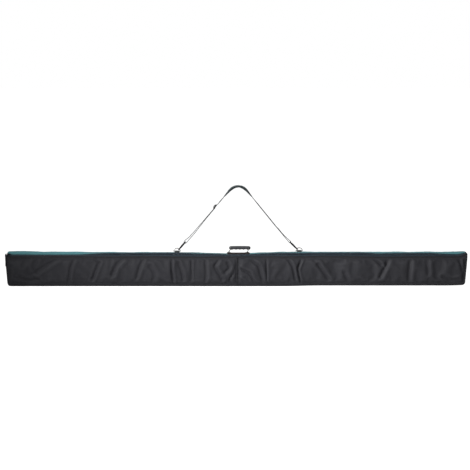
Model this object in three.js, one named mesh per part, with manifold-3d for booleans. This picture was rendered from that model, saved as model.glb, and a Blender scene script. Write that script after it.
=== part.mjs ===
// A long padded ski bag: box-shaped fabric shell, zipped spine on top, grip handle and shoulder strap.
// Millimetres. +X runs along the bag, -Y is the front panel's side, +Z is up, z = 0 is the resting face.
import * as THREE from "three";
import { mergeVertices } from "three/addons/utils/BufferGeometryUtils.js";
import Module from "manifold-3d";

const wasm = await Module();
wasm.setup();

// ---- driving dimensions ----
const GAP = 0.3; // between pieces that touch
const HALF_LENGTH = 1052; // at the top corners, before they are rounded
const HALF_DEPTH = 40;
const SHELL_TOP = 137.5; // top of the piping round the panels
const CROWN = 153.5; // middle of the spine, away from the handle
const CROWN_TILT = 1.3; // the spine is a little higher on the right than on the left
const CROWN_DIP = 6; // sag of the spine under the handle
const DIP_CENTRE = -10;
const DIP_WIDTH = 130;
const END_SLANT = 13; // each end leans in by this much from top to bottom
const LOW_CORNER = 14;
const HIGH_CORNER = 6;
const CORNER_STEPS = 5;

const PADDING = 4; // foam between two fabrics, sewn as one panel
const PIPING_R = 3;
const SEAM_X = 5; // the seam that joins the two halves of each panel
const SEAM_TAPE = 20;
const TAPE_THICK = 0.7;

const ZIP_LOW = { inset: 4, z: 138 }; // outer edge of the zip band
const ZIP_HIGH = { inset: 11.2, z: 143.6 }; // inner edge, on the spine
const ZIP_REAR_Y = 33;
const COIL_THICK = 2.2;

const SPINE_FRONT_Y = -28.3;
const SPINE_REAR_Y = 34;
const SPINE_REAR_Z = 139;
const SPINE_HALF = 1038;
const SPINE_THICK = 3;
const SPINE_SIDES = 10;

const WEB_WIDTH = 25;
const WEB_THICK = 1.6;

// ---- shape helpers ----
const v3 = (x, y, z) => new THREE.Vector3(x, y, z);
const lerp = (a, b, t) => a + (b - a) * t;

const range = (n) => Array.from({ length: n }, (_, i) => i);

// A closed body through rings of equal point count; it closes on itself when asked, or its ends are capped.
function loft(rings, loop = false) {
  const n = rings[0].length;
  const flat = rings.flat().flatMap((p) => [p.x, p.y, p.z]);
  const index = [];
  const spans = loop ? rings.length : rings.length - 1;
  for (const i of range(spans)) {
    const a = i * n;
    const b = ((i + 1) % rings.length) * n;
    for (const k of range(n)) {
      const m = (k + 1) % n;
      index.push(a + k, a + m, b + m, a + k, b + m, b + k);
    }
  }
  if (!loop) {
    const last = (rings.length - 1) * n;
    const face = THREE.ShapeUtils.triangulateShape(flatten(rings[0]), []);
    for (const [p, q, r] of face) index.push(p, r, q, last + p, last + q, last + r);
  }
  const made = new THREE.BufferGeometry();
  made.setAttribute("position", new THREE.Float32BufferAttribute(flat, 3));
  made.setIndex(index);
  return outward(made);
}

// A ring of points seen along its own normal, as 2D points.
function flatten(ring) {
  const normal = v3(0, 0, 0);
  ring.forEach((p, i) => normal.add(p.clone().cross(ring[(i + 1) % ring.length])));
  normal.normalize();
  const u = ring[1].clone().sub(ring[0]).normalize();
  const w = normal.clone().cross(u);
  return ring.map((p) => new THREE.Vector2(p.dot(u), p.dot(w)));
}

function signedVolume(geometry) {
  const g = geometry.index ? geometry.toNonIndexed() : geometry;
  const p = g.attributes.position;
  let sum = 0;
  for (let i = 0; i < p.count; i += 3) {
    const [a, b, c] = [0, 1, 2].map((k) => v3().fromBufferAttribute(p, i + k));
    sum += a.dot(b.cross(c));
  }
  return sum / 6;
}

function outward(geometry) {
  if (signedVolume(geometry) >= 0) return geometry;
  const list = geometry.index.array;
  for (let i = 0; i < list.length; i += 3) [list[i + 1], list[i + 2]] = [list[i + 2], list[i + 1]];
  return geometry;
}

// A manifold-3d solid from a closed geometry, and the geometry back from a solid.
function solid(geometry) {
  const bare = geometry.clone();
  bare.deleteAttribute("normal");
  bare.deleteAttribute("uv");
  const merged = mergeVertices(bare, 1e-4);
  const vertProperties = new Float32Array(merged.attributes.position.array);
  const triVerts = new Uint32Array(merged.index.array);
  return new wasm.Manifold(new wasm.Mesh({ numProp: 3, vertProperties, triVerts }));
}

function unsolid(made) {
  const mesh = made.getMesh();
  const geometry = new THREE.BufferGeometry();
  geometry.setAttribute("position", new THREE.BufferAttribute(mesh.vertProperties, 3));
  geometry.setIndex(new THREE.BufferAttribute(mesh.triVerts, 1));
  return geometry;
}

const joined = (...parts) => unsolid(parts.map(solid).reduce((a, b) => a.add(b)));
const without = (base, ...cuts) => unsolid(cuts.map(solid).reduce((a, b) => a.subtract(b), solid(base)));

// A shape drawn in x and z, given thickness along y from y0 to y1.
function plate(shape, y0, y1) {
  const made = new THREE.ExtrudeGeometry(shape, { depth: y1 - y0, bevelEnabled: false, curveSegments: 8 });
  return made.rotateX(Math.PI / 2).translate(0, y1, 0);
}

const box = (x0, x1, y0, y1, z0, z1) =>
  new THREE.BoxGeometry(x1 - x0, y1 - y0, z1 - z0).translate((x0 + x1) / 2, (y0 + y1) / 2, (z0 + z1) / 2);

// A round bar of n sides between two points.
function bar(from, to, radius, n = 12) {
  const run = to.clone().sub(from);
  const made = new THREE.CylinderGeometry(radius, radius, run.length(), n);
  made.applyQuaternion(new THREE.Quaternion().setFromUnitVectors(v3(0, 1, 0), run.clone().normalize()));
  return made.translate(...from.clone().add(to).multiplyScalar(0.5).toArray());
}

// A round wire of n sides along flat points; side is the unit vector square to their plane.
function wire(points, side, radius, n, loop) {
  return loft(
    points.map((p, i) => {
      const out = mitre(points, i, side, loop);
      return range(n).map((k) => {
        const angle = (2 * Math.PI * k) / n;
        return p
          .clone()
          .addScaledVector(side, radius * Math.sin(angle))
          .addScaledVector(out, radius * Math.cos(angle));
      });
    }),
    loop,
  );
}

// The in-plane normal at one point of a flat polyline, lengthened so that the sides stay parallel.
function mitre(points, i, side, loop) {
  const n = points.length;
  const before = loop ? points[(i + n - 1) % n] : points[Math.max(i - 1, 0)];
  const after = loop ? points[(i + 1) % n] : points[Math.min(i + 1, n - 1)];
  const here = points[i];
  const arrive = here.clone().sub(before).normalize();
  const leave = after.clone().sub(here).normalize();
  if (arrive.lengthSq() === 0) arrive.copy(leave);
  if (leave.lengthSq() === 0) leave.copy(arrive);
  const normal = arrive.clone().add(leave).normalize().cross(side);
  return normal.divideScalar(Math.max(0.5, normal.dot(leave.clone().cross(side))));
}

// Flat webbing whose width lies along y, on points in the x-z plane, set off to one side by shift.
function webbing(points, width, thick, shift = 0) {
  const side = v3(0, 1, 0);
  return loft(
    points.map((p, i) => {
      const out = mitre(points, i, side, false);
      const corner = (y, t) => p.clone().setY(y).addScaledVector(out, shift + t);
      const [w, t] = [width / 2, thick / 2];
      return [corner(-w, -t), corner(w, -t), corner(w, t), corner(-w, t)];
    }),
  );
}

// ---- the bag's outline in x and z, drawn in by inset ----
const endX = (z) => HALF_LENGTH - END_SLANT * (1 - z / CROWN);

function cornerArc(at, towardA, towardB, radius) {
  const a = towardA.clone().sub(at).normalize();
  const b = towardB.clone().sub(at).normalize();
  const start = at.clone().addScaledVector(a, radius);
  const end = at.clone().addScaledVector(b, radius);
  return new THREE.QuadraticBezierCurve(start, at, end).getPoints(CORNER_STEPS);
}

function outline(inset) {
  const x = (z) => endX(z) - inset;
  const [low, high] = [inset, SHELL_TOP - inset];
  const corners = [
    new THREE.Vector2(-x(high), high),
    new THREE.Vector2(-x(low), low),
    new THREE.Vector2(x(low), low),
    new THREE.Vector2(x(high), high),
  ];
  const radii = [HIGH_CORNER, LOW_CORNER, LOW_CORNER, HIGH_CORNER].map((r) => Math.max(r - inset / 2, 2));
  return corners.map((c, i) => cornerArc(c, corners[(i + 3) % 4], corners[(i + 1) % 4], radii[i]));
}

const asPoints = (list, y) => list.map((p) => v3(p.x, y, p.y));

// ---- fabric shell ----
function panelHalf(side, y0, y1) {
  const [topLeft, lowLeft, lowRight, topRight] = outline(2 * PIPING_R + GAP);
  const edge = SEAM_X + (side * GAP) / 2;
  const seam = (z) => new THREE.Vector2(edge, z);
  const [low, high] = [lowLeft.at(-1).y, topLeft[0].y];
  const points = side < 0 ? [...topLeft, ...lowLeft, seam(low), seam(high)] : [...lowRight, ...topRight];
  if (side > 0) points.push(seam(high), seam(low));
  return plate(new THREE.Shape(points), y0, y1);
}

function piping(y) {
  return wire(asPoints(outline(PIPING_R).flat(), y), v3(0, 1, 0), PIPING_R, 8, true);
}

function gussetStrip(outer, inner) {
  const half = HALF_DEPTH - 2 * PIPING_R - GAP;
  return plate(new THREE.Shape([...outer, ...[...inner].reverse()]), -half, half);
}

const CORNER_REACH = 30; // how far each end gusset turns in under the bag

function endGusset(side) {
  const strip = (inset) => {
    const [topLeft, lowLeft] = outline(inset);
    const top = new THREE.Vector2(topLeft.at(-1).x, SHELL_TOP - 1);
    const reach = new THREE.Vector2(-endX(0) + CORNER_REACH, inset);
    return [top, ...lowLeft, reach].map((p) => new THREE.Vector2(-side * p.x, p.y));
  };
  return outward(gussetStrip(strip(0), strip(PADDING)));
}

function bottomGusset() {
  const end = endX(0) - CORNER_REACH - GAP;
  const half = HALF_DEPTH - 2 * PIPING_R - GAP;
  return box(-end, end, -half, half, 0, PADDING);
}

function seamTape(y0, y1) {
  const margin = 2 * PIPING_R + 2;
  return box(SEAM_X - SEAM_TAPE / 2, SEAM_X + SEAM_TAPE / 2, y0, y1, margin, SHELL_TOP - margin);
}

// ---- spine: the crowned strip on top, hinged along its rear edge ----
function crown(x) {
  const dip = CROWN_DIP * Math.exp(-(((x - DIP_CENTRE) / DIP_WIDTH) ** 2));
  return CROWN + CROWN_TILT * Math.tanh(x / 200) - dip;
}

function spineTop(x, y, top = crown(x)) {
  const frontZ = ZIP_HIGH.z + GAP;
  const [edgeY, edgeZ] = y < 0 ? [SPINE_FRONT_Y, frontZ] : [SPINE_REAR_Y, SPINE_REAR_Z];
  return top - (top - edgeZ) * (y / edgeY) ** 2;
}

function spine() {
  const inner = [1000, 700, 450, 300, 225, 150, 75];
  const stations = [...inner.map((x) => -x), 0, ...[...inner].reverse()];
  const END_FALL = 8; // the crown falls to the zip over this length at each end
  const full = SPINE_HALF - END_FALL;
  const ends = (side) => [
    { x: side * SPINE_HALF, top: ZIP_HIGH.z + 2 },
    { x: side * full, top: crown(side * full) },
  ];
  const list = [...ends(-1), ...stations.map((x) => ({ x, top: crown(x) })), ...ends(1).reverse()];
  const ys = range(SPINE_SIDES + 1).map((k) => lerp(SPINE_FRONT_Y, SPINE_REAR_Y, k / SPINE_SIDES));
  return loft(
    list.map(({ x, top }) => [
      ...ys.map((y) => v3(x, y, spineTop(x, y, top))),
      ...[...ys].reverse().map((y) => v3(x, y, spineTop(x, y, top) - SPINE_THICK)),
    ]),
  );
}

// ---- zip: a U-shaped band round the front and both short ends of the spine ----
function zipStrip(from, to, thick) {
  const at = (t) => ({ inset: lerp(ZIP_LOW.inset, ZIP_HIGH.inset, t), z: lerp(ZIP_LOW.z, ZIP_HIGH.z, t) });
  const corner = (t, sx, rear) => {
    const { inset, z } = at(t);
    return v3(sx * (HALF_LENGTH - 1 - inset), rear ? ZIP_REAR_Y : -HALF_DEPTH + inset, z);
  };
  const ring = (sx, rear) => {
    const [low, high] = [corner(from, sx, rear), corner(to, sx, rear)];
    const lift = v3(0, 0, thick);
    return [low, high, high.clone().add(lift), low.clone().add(lift)];
  };
  return loft([ring(-1, true), ring(-1, false), ring(1, false), ring(1, true)]);
}

// ---- zip slider and its hanging pull, parked at the left end ----
const SLIDER_X = -1032;
const SLIDER = { half: 9, topHalf: 6, thick: 2.5, front: -38.5, rear: -30 };
const ARM = { half: 1, front: -41.6, inner: -39.8, rear: -36 }; // carries the pull's pin in front of the zip
const KNOB = { half: 2.2, front: -46.5, rear: -45.2 }; // keeps the pull on its pin
const PULL_Y = -43.5;
const PULL_PIVOT = v3(-HALF_LENGTH + 5.4, PULL_Y, 143);
const PULL_LENGTH = 52;
const PULL_EYE = { outer: 3.4, hole: 1.9, neck: 1.6, half: 1.2 };
const TIP_LENGTH = 18;
const TIP_R = 2.4;

function zipSlider() {
  const lift = ZIP_HIGH.z + COIL_THICK + GAP;
  const { half, topHalf, thick, front, rear } = SLIDER;
  const shape = new THREE.Shape();
  shape.moveTo(SLIDER_X - half, lift);
  shape.lineTo(SLIDER_X + half, lift);
  shape.lineTo(SLIDER_X + topHalf, lift + thick + 0.5);
  shape.lineTo(SLIDER_X - topHalf, lift + thick + 1);
  shape.lineTo(SLIDER_X - half, lift + thick);
  const { x, z } = PULL_PIVOT;
  const [left, low] = [x - ARM.half, z - ARM.half];
  const right = x + ARM.half;
  const arm = box(left, SLIDER_X - topHalf + 2, ARM.front, ARM.rear, lift, lift + thick);
  const drop = box(left, right, ARM.front, ARM.inner, low, lift + thick);
  const pin = box(left, right, KNOB.front, ARM.inner, low, z + ARM.half);
  const k = KNOB.half;
  const knob = box(x - k, x + k, KNOB.front, KNOB.rear, z - k, z + k);
  return joined(plate(shape, front, rear), arm, drop, pin, knob);
}

function zipPullNeck() {
  const { outer, hole, neck, half } = PULL_EYE;
  const [x, z] = [PULL_PIVOT.x, PULL_PIVOT.z];
  const low = z - PULL_LENGTH + TIP_LENGTH;
  const eye = new THREE.Shape();
  eye.absarc(x, z, outer, 0, Math.PI);
  eye.lineTo(x - neck, low);
  eye.lineTo(x + neck, low);
  eye.holes.push(new THREE.Path().absarc(x, z, hole, 0, 2 * Math.PI, true));
  return plate(eye, PULL_Y - half, PULL_Y + half);
}

function zipPullTip() {
  const low = v3(PULL_PIVOT.x, PULL_Y, PULL_PIVOT.z - PULL_LENGTH);
  const high = low.clone().setZ(low.z + TIP_LENGTH - GAP);
  return bar(low, high, TIP_R, 10);
}

// ---- handle ----
const BASE = { x0: -43, x1: 60, half: 20, lift: 2.6, corner: 4 };
const RING_FOOT = { left: -34, right: 50 }; // x of each ring's lower bar
const RING_LEAN = 8; // the rings' upper bars stand this far to the right
const RING_RISE = 17.5;
const RING_WIRE = 1.6;
const RING_HALF = 11.5; // half the distance between the ring's two upright sides
const RING_CORNER = 3.5;
const FOOT_Z = crown(0) + GAP + BASE.lift + RING_WIRE + 0.5;
const EYE_Z = FOOT_Z + RING_RISE;
const GRIP_TOP = EYE_Z + 11;
const GRIP_ENDS = [-33, 65];
const GRIP_HALF = 8.5;
const GRIP_LOW = EYE_Z - 3.6;
const GRIP_END_RUN = 14; // length at each end before the first finger dip
const FINGER_DIPS = 4;
const FINGER_DEEP = EYE_Z - 0.2; // top of each finger dip
const FINGER_RIDGE = EYE_Z - 3.2; // foot of the ridges between them
const BRACKET_HALF = 7;
const BRACKET_THICK = 1.2;
const LEG_REACH = 8.5;

const RIVET_HOLE = 1.6;
const RIVET_HEAD = { r: 2.6, shoulder: 0.9, top: 1.3 };
const RIVET_FROM_BAR = 6.2;
const feet = [RING_FOOT.left, RING_FOOT.right];
const rivetPlaces = feet.flatMap((x) => [x - RIVET_FROM_BAR, x + RIVET_FROM_BAR]);
const baseTop = crown(0) + GAP + BASE.lift;

function handleBase() {
  const FLAT_HALF = BRACKET_HALF + 2; // the patch is flat on top where the brackets stand
  const SIDE_FALL = 0.3; // share of the spine's crown that the patch's sides follow
  const between = [-20, 8, 36];
  const stations = [BASE.x0, BASE.x0 + BASE.corner, ...between, BASE.x1 - BASE.corner, BASE.x1];
  const made = loft(
    stations.map((x, i) => {
      const half = i === 0 || i === stations.length - 1 ? BASE.half - BASE.corner : BASE.half;
      const ys = [-half, -half / 2, 0, half / 2, half];
      const fall = (y) => (Math.abs(y) < FLAT_HALF ? 0 : SIDE_FALL * (crown(x) - spineTop(x, y)));
      const top = (y) => baseTop - fall(y);
      return [
        ...ys.map((y) => v3(x, y, spineTop(x, y) - 1)),
        ...[...ys].reverse().map((y) => v3(x, y, top(y))),
      ];
    }),
  );
  const holes = rivetPlaces.map((x) => bar(v3(x, 0, baseTop - 9), v3(x, 0, baseTop + 5), RIVET_HOLE));
  return without(made, spine().translate(0, 0, GAP), ...holes);
}

function ringBracket(footX) {
  const inner = RING_WIRE + GAP;
  const outer = inner + BRACKET_THICK;
  const legZ = baseTop + GAP;
  const shape = new THREE.Shape();
  shape.moveTo(footX + LEG_REACH, legZ);
  shape.lineTo(footX + LEG_REACH, legZ + BRACKET_THICK);
  shape.lineTo(footX + outer, legZ + BRACKET_THICK);
  shape.absarc(footX, FOOT_Z, outer, 0, Math.PI);
  shape.lineTo(footX - outer, legZ + BRACKET_THICK);
  shape.lineTo(footX - LEG_REACH, legZ + BRACKET_THICK);
  shape.lineTo(footX - LEG_REACH, legZ);
  shape.lineTo(footX - inner, legZ);
  shape.absarc(footX, FOOT_Z, inner, Math.PI, 0, true);
  shape.lineTo(footX + inner, legZ);
  const holes = [-RIVET_FROM_BAR, RIVET_FROM_BAR].map((dx) =>
    bar(v3(footX + dx, 0, legZ - 3), v3(footX + dx, 0, legZ + 5), RIVET_HOLE),
  );
  return without(plate(shape, -BRACKET_HALF, BRACKET_HALF), ...holes);
}

function rivet(x) {
  const shaft = RIVET_HOLE - GAP;
  const foot = spineTop(x, 0) + GAP + 0.2;
  const seat = baseTop + GAP + BRACKET_THICK + 0.15;
  const profile = [
    [0, foot],
    [shaft, foot],
    [shaft, seat],
    [RIVET_HEAD.r, seat],
    [RIVET_HEAD.r - 0.5, seat + RIVET_HEAD.shoulder],
    [0, seat + RIVET_HEAD.top],
  ];
  const made = new THREE.LatheGeometry(profile.map(([r, z]) => new THREE.Vector2(r, z)), 14);
  return made.rotateX(Math.PI / 2).translate(x, 0, 0);
}

function roundedLoop(halfY, height, radius) {
  const made = new THREE.Shape();
  made.moveTo(-halfY + radius, 0);
  made.lineTo(halfY - radius, 0);
  made.absarc(halfY - radius, radius, radius, -Math.PI / 2, 0);
  made.lineTo(halfY, height - radius);
  made.absarc(halfY - radius, height - radius, radius, 0, Math.PI / 2);
  made.lineTo(-halfY + radius, height);
  made.absarc(-halfY + radius, height - radius, radius, Math.PI / 2, Math.PI);
  made.lineTo(-halfY, radius);
  made.absarc(-halfY + radius, radius, radius, Math.PI, 1.5 * Math.PI);
  const points = made.getPoints(3);
  return points.filter((p, i) => i === 0 || p.distanceTo(points[i - 1]) > 0.05).slice(0, -1);
}

function handleRing(footX) {
  const up = v3(RING_LEAN, 0, RING_RISE);
  const length = up.length();
  up.normalize();
  const side = v3(0, 1, 0).cross(up);
  const foot = v3(footX, 0, FOOT_Z);
  const points = roundedLoop(RING_HALF, length, RING_CORNER).map((p) =>
    foot.clone().add(v3(0, p.x, 0)).addScaledVector(up, p.y),
  );
  return wire(points, side, RING_WIRE, 8, true);
}

function handleGrip() {
  const [x0, x1] = GRIP_ENDS;
  const shape = new THREE.Shape();
  shape.moveTo(x0, EYE_Z);
  shape.quadraticCurveTo(x0 + 1, GRIP_TOP - 2, x0 + 12, GRIP_TOP - 1);
  shape.quadraticCurveTo((x0 + x1) / 2, GRIP_TOP + 1, x1 - 10, GRIP_TOP - 1);
  shape.quadraticCurveTo(x1 - 1, GRIP_TOP - 2, x1, EYE_Z);
  shape.quadraticCurveTo(x1 - 1, GRIP_LOW, x1 - GRIP_END_RUN / 2, GRIP_LOW);
  const [from, to] = [x1 - GRIP_END_RUN, x0 + GRIP_END_RUN];
  shape.lineTo(from, FINGER_RIDGE);
  for (const k of range(FINGER_DIPS)) {
    const a = lerp(from, to, k / FINGER_DIPS);
    const b = lerp(from, to, (k + 1) / FINGER_DIPS);
    shape.quadraticCurveTo((a + b) / 2, 2 * FINGER_DEEP - FINGER_RIDGE, b, FINGER_RIDGE);
  }
  shape.lineTo(x0 + GRIP_END_RUN / 2, GRIP_LOW);
  shape.quadraticCurveTo(x0 + 1, GRIP_LOW, x0, EYE_Z);
  const eyes = Object.values(RING_FOOT).map((foot) => {
    const x = foot + RING_LEAN;
    return bar(v3(x, -GRIP_HALF - 1, EYE_Z), v3(x, GRIP_HALF + 1, EYE_Z), RING_WIRE + 0.4, 16);
  });
  return without(plate(shape, -GRIP_HALF, GRIP_HALF), ...eyes);
}

// ---- D-rings and their webbing tabs ----
const DEE = { a: 14.75, b: 14, wire: 1.75 };
const DEE_LIFT = 4.3; // height of the ring's straight bar above the spine

const PAD_LEFT = v3(-38.6, 0, 425); // where the left run of strap meets the round of the shoulder
const PAD_PEAK = v3(8.6, 0, 482.2); // where the two straight runs would cross
const PAD_RIGHT = v3(54.9, 0, 425);
const SEWN_END = v3(211.8, 0, 231.3); // lower end of the sewn overlap on the right run

// A D-ring at centre x and the point on it whose outward normal looks at target.
function deeAt(x, target) {
  const foot = v3(x, 0, crown(x) + DEE_LIFT);
  let hook = foot.clone();
  let pull = target.clone().sub(hook).normalize();
  for (let i = 0; i < 8; i++) {
    const t = Math.atan2(DEE.b * pull.z, DEE.a * pull.x);
    hook = foot.clone().add(v3(DEE.a * Math.cos(t), 0, DEE.b * Math.sin(t)));
    pull = target.clone().sub(hook).normalize();
  }
  return { foot, hook, pull };
}

const LEFT = deeAt(-269.5, PAD_LEFT);
const RIGHT = deeAt(286, SEWN_END);

function deeRing({ foot }) {
  const ARC_STEPS = 14;
  const arc = range(ARC_STEPS + 1).map((k) => {
    const t = (Math.PI * k) / ARC_STEPS;
    return foot.clone().add(v3(DEE.a * Math.cos(t), 0, DEE.b * Math.sin(t)));
  });
  return wire(arc, v3(0, 1, 0), DEE.wire, 8, true);
}

function deeTab({ foot }) {
  const inner = DEE.wire + 0.35;
  const outer = inner + WEB_THICK;
  const LEG = 24; // how far the tab's legs reach to each side of the ring
  const surface = (y) => spineTop(foot.x, y) + GAP + 0.2;
  const shape = new THREE.Shape();
  const out = range(5).map((k) => lerp(outer, LEG, k / 4));
  shape.moveTo(outer, foot.z);
  shape.absarc(0, foot.z, outer, 0, Math.PI);
  for (const y of out) shape.lineTo(-y, surface(-y) + WEB_THICK);
  for (const y of [...out].reverse()) shape.lineTo(-y, surface(-y));
  for (const y of out) shape.lineTo(y, surface(y));
  for (const y of [...out].reverse()) shape.lineTo(y, surface(y) + WEB_THICK);
  shape.holes.push(new THREE.Path().absarc(0, foot.z, inner, 0, 2 * Math.PI, true));
  const half = DEE.a - DEE.wire - 1;
  const solidTab = { depth: 2 * half, bevelEnabled: false, curveSegments: 6 };
  const made = new THREE.ExtrudeGeometry(shape, solidTab);
  return made
    .rotateX(Math.PI / 2)
    .rotateZ(Math.PI / 2)
    .translate(foot.x - half, 0, 0);
}

// ---- snap hooks: local x is the hook's width, local z runs up its shank from the ring it holds ----
const HOOK = { inner: 5.6, outer: 9, bowl: 3.5, half: 2.5, shank: 3.5, top: 29.2 };
const HOOK_BACK = { low: 17, high: 25 }; // where the hook's back leaves its bowl and meets its shank
const GATE_BLOCK = { out: 8, low: 17, high: 22 }; // the thicker part that holds the gate's pin
const GATE_SLOT = { from: 0.5, half: 1.8, low: 15, high: 23.4 };
const GATE = { eye: 2.4, half: 1.4, back: 13, front: 14, nose: 5.4 };
const POST = { r: 1.5, top: 34.3, head: 3.1, headTop: 36 };
const LOOP = { half: 16.5, low: 29.5, slotLow: 33.6, slotHigh: 41.5, top: 45, slotHalf: 13.5, thick: 2.2 };
const LOOP_BAR = (LOOP.slotHigh + LOOP.top) / 2;
const GATE_PIVOT = new THREE.Vector2(5.2, 20);
const GATE_PIN = 1;

// Puts a shape modelled in hook coordinates where the hook is: its width turns to y, its shank to the pull.
function onHook({ hook, pull }, geometry) {
  const width = v3(0, 1, 0);
  const frame = new THREE.Matrix4().makeBasis(width, pull.clone().cross(width), pull);
  return geometry.applyMatrix4(frame.setPosition(hook));
}

function hookBody(end) {
  const { inner, outer, bowl, half, shank, top } = HOOK;
  const shape = new THREE.Shape();
  shape.moveTo(shank, top);
  shape.lineTo(-shank, top);
  shape.lineTo(-shank, HOOK_BACK.high);
  shape.lineTo(-outer, HOOK_BACK.low);
  shape.lineTo(-outer, bowl);
  shape.absarc(0, bowl, outer, Math.PI, 2 * Math.PI);
  shape.lineTo(outer, bowl + 5);
  shape.lineTo(inner, bowl + 4);
  shape.lineTo(inner, bowl);
  shape.absarc(0, bowl, inner, 0, Math.PI, true);
  shape.lineTo(-inner, GATE_BLOCK.low - 3);
  shape.lineTo(1, GATE_BLOCK.low);
  shape.lineTo(GATE_BLOCK.out, GATE_BLOCK.low);
  shape.lineTo(GATE_BLOCK.out, GATE_BLOCK.high);
  shape.lineTo(shank, HOOK_BACK.high);
  const post = bar(v3(0, 0, top - 1), v3(0, 0, POST.top + 1), POST.r);
  const head = bar(v3(0, 0, POST.top), v3(0, 0, POST.headTop), POST.head);
  const { from, half: slotHalf, low, high } = GATE_SLOT;
  const slot = box(from, outer + 1, -slotHalf, slotHalf, low, high);
  const { x, y } = GATE_PIVOT;
  const pinHole = bar(v3(x, -2 * half, y), v3(x, 2 * half, y), GATE_PIN + GAP / 2);
  return onHook(end, without(joined(plate(shape, -half, half), post, head), slot, pinHole));
}

function hookGate(end) {
  const shape = new THREE.Shape();
  const { x, y } = GATE_PIVOT;
  const { eye, half, back, front, nose } = GATE;
  shape.absarc(x, y, eye, -0.2, Math.PI + 0.2);
  shape.lineTo(x - 0.4, back);
  shape.lineTo(HOOK.inner + 0.4, HOOK.bowl + nose);
  shape.lineTo(HOOK.outer - 0.2, HOOK.bowl + nose + 0.2);
  shape.lineTo(HOOK.outer - 0.8, front);
  shape.holes.push(new THREE.Path().absarc(x, y, GATE_PIN + 0.25, 0, 2 * Math.PI, true));
  return onHook(end, plate(shape, -half, half));
}

function gatePin(end) {
  const { x, y } = GATE_PIVOT;
  const reach = HOOK.half + GAP;
  return onHook(end, bar(v3(x, -reach, y), v3(x, reach, y), GATE_PIN, 10));
}

function swivelLoop(end) {
  const shape = new THREE.Shape();
  const { half, low, slotLow, slotHigh, top, slotHalf, thick } = LOOP;
  const CHAMFER = 3;
  const BOSS = 4;
  shape.moveTo(-BOSS - 1, low);
  shape.lineTo(BOSS + 1, low);
  shape.lineTo(half, slotLow);
  shape.lineTo(half, top - CHAMFER);
  shape.lineTo(half - CHAMFER, top);
  shape.lineTo(-half + CHAMFER, top);
  shape.lineTo(-half, top - CHAMFER);
  shape.lineTo(-half, slotLow);
  const slot = new THREE.Path();
  slot.moveTo(-slotHalf, slotLow + 0.6);
  slot.lineTo(-slotHalf, slotHigh);
  slot.lineTo(slotHalf, slotHigh);
  slot.lineTo(slotHalf, slotLow + 0.6);
  slot.lineTo(BOSS, slotLow);
  slot.lineTo(-BOSS, slotLow);
  shape.holes.push(slot);
  const boss = bar(v3(0, 0, low), v3(0, 0, slotLow), BOSS);
  const hole = bar(v3(0, 0, low - 1), v3(0, 0, slotLow + 1), POST.r + 0.4);
  return onHook(end, without(joined(plate(shape, -thick, thick), boss), hole));
}

// ---- shoulder strap: one length of webbing, here split at the slider ----
const alongPull = ({ hook, pull }, s, n = 0) => {
  const out = v3(-pull.z, 0, pull.x);
  return hook.clone().addScaledVector(pull, s).addScaledVector(out, n);
};

const SLIDER_S = 253; // distance of the strap slider from the left hook's ring
const LAYER = WEB_THICK + 0.4; // spacing of webbing layers that lie together
const SEWN_LOOP = 26; // from the left loop's bar to where the strap's two ends are sewn together
const SEWN_SIDE = 1.3; // how far that seam stands off the line of pull
const ROUND_STEPS = 14;

const padRound = new THREE.QuadraticBezierCurve3(PAD_LEFT, PAD_PEAK, PAD_RIGHT);

// Half a turn round a swivel loop's bar, from side to side, centred on the bar.
function turnRoundBar(end, radius, side) {
  return range(9).map((k) => {
    const angle = (Math.PI * k) / 8;
    return alongPull(end, LOOP_BAR - radius * Math.sin(angle), side * radius * Math.cos(angle));
  });
}

function upperWebbing() {
  const RIGHT_TURN = 4;
  const OVERLAP = 42;
  const run = SEWN_END.clone().sub(PAD_RIGHT).normalize();
  const off = v3(run.z, 0, -run.x).multiplyScalar(LAYER);
  const back = SEWN_END.clone().sub(off);
  const points = [
    alongPull(LEFT, LOOP_BAR + SEWN_LOOP, SEWN_SIDE),
    alongPull(LEFT, LOOP_BAR + 2 * SEWN_LOOP + 6),
    ...padRound.getPoints(ROUND_STEPS),
    SEWN_END,
    ...turnRoundBar(RIGHT, RIGHT_TURN, 1),
    back,
    back.clone().addScaledVector(run, -OVERLAP),
  ];
  return webbing(points, WEB_WIDTH, WEB_THICK);
}

function adjusterLoop() {
  const TURN = 6;
  const points = [
    alongPull(LEFT, LOOP_BAR + SEWN_LOOP - GAP, SEWN_SIDE + 0.1),
    alongPull(LEFT, LOOP_BAR + 12, 4.5),
    ...turnRoundBar(LEFT, TURN, 1),
    alongPull(LEFT, LOOP_BAR + 60, -6),
    alongPull(LEFT, LOOP_BAR + 130, -LAYER - 0.6),
    alongPull(LEFT, SLIDER_S - 3, -LAYER),
  ];
  return webbing(points, WEB_WIDTH, WEB_THICK);
}

function padHalf(side) {
  const PAD_WIDTH = 48;
  const PAD_THICK = 5;
  const END_RUN = 30; // straight stretch of pad past each end of the round
  const lead = PAD_LEFT.clone().addScaledVector(LEFT.pull, -END_RUN);
  const run = SEWN_END.clone().sub(PAD_RIGHT).normalize();
  const tail = PAD_RIGHT.clone().addScaledVector(run, END_RUN);
  const points = [lead, ...padRound.getPoints(ROUND_STEPS), tail];
  return webbing(points, PAD_WIDTH, PAD_THICK, side * (WEB_THICK / 2 + GAP + PAD_THICK / 2));
}

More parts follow.
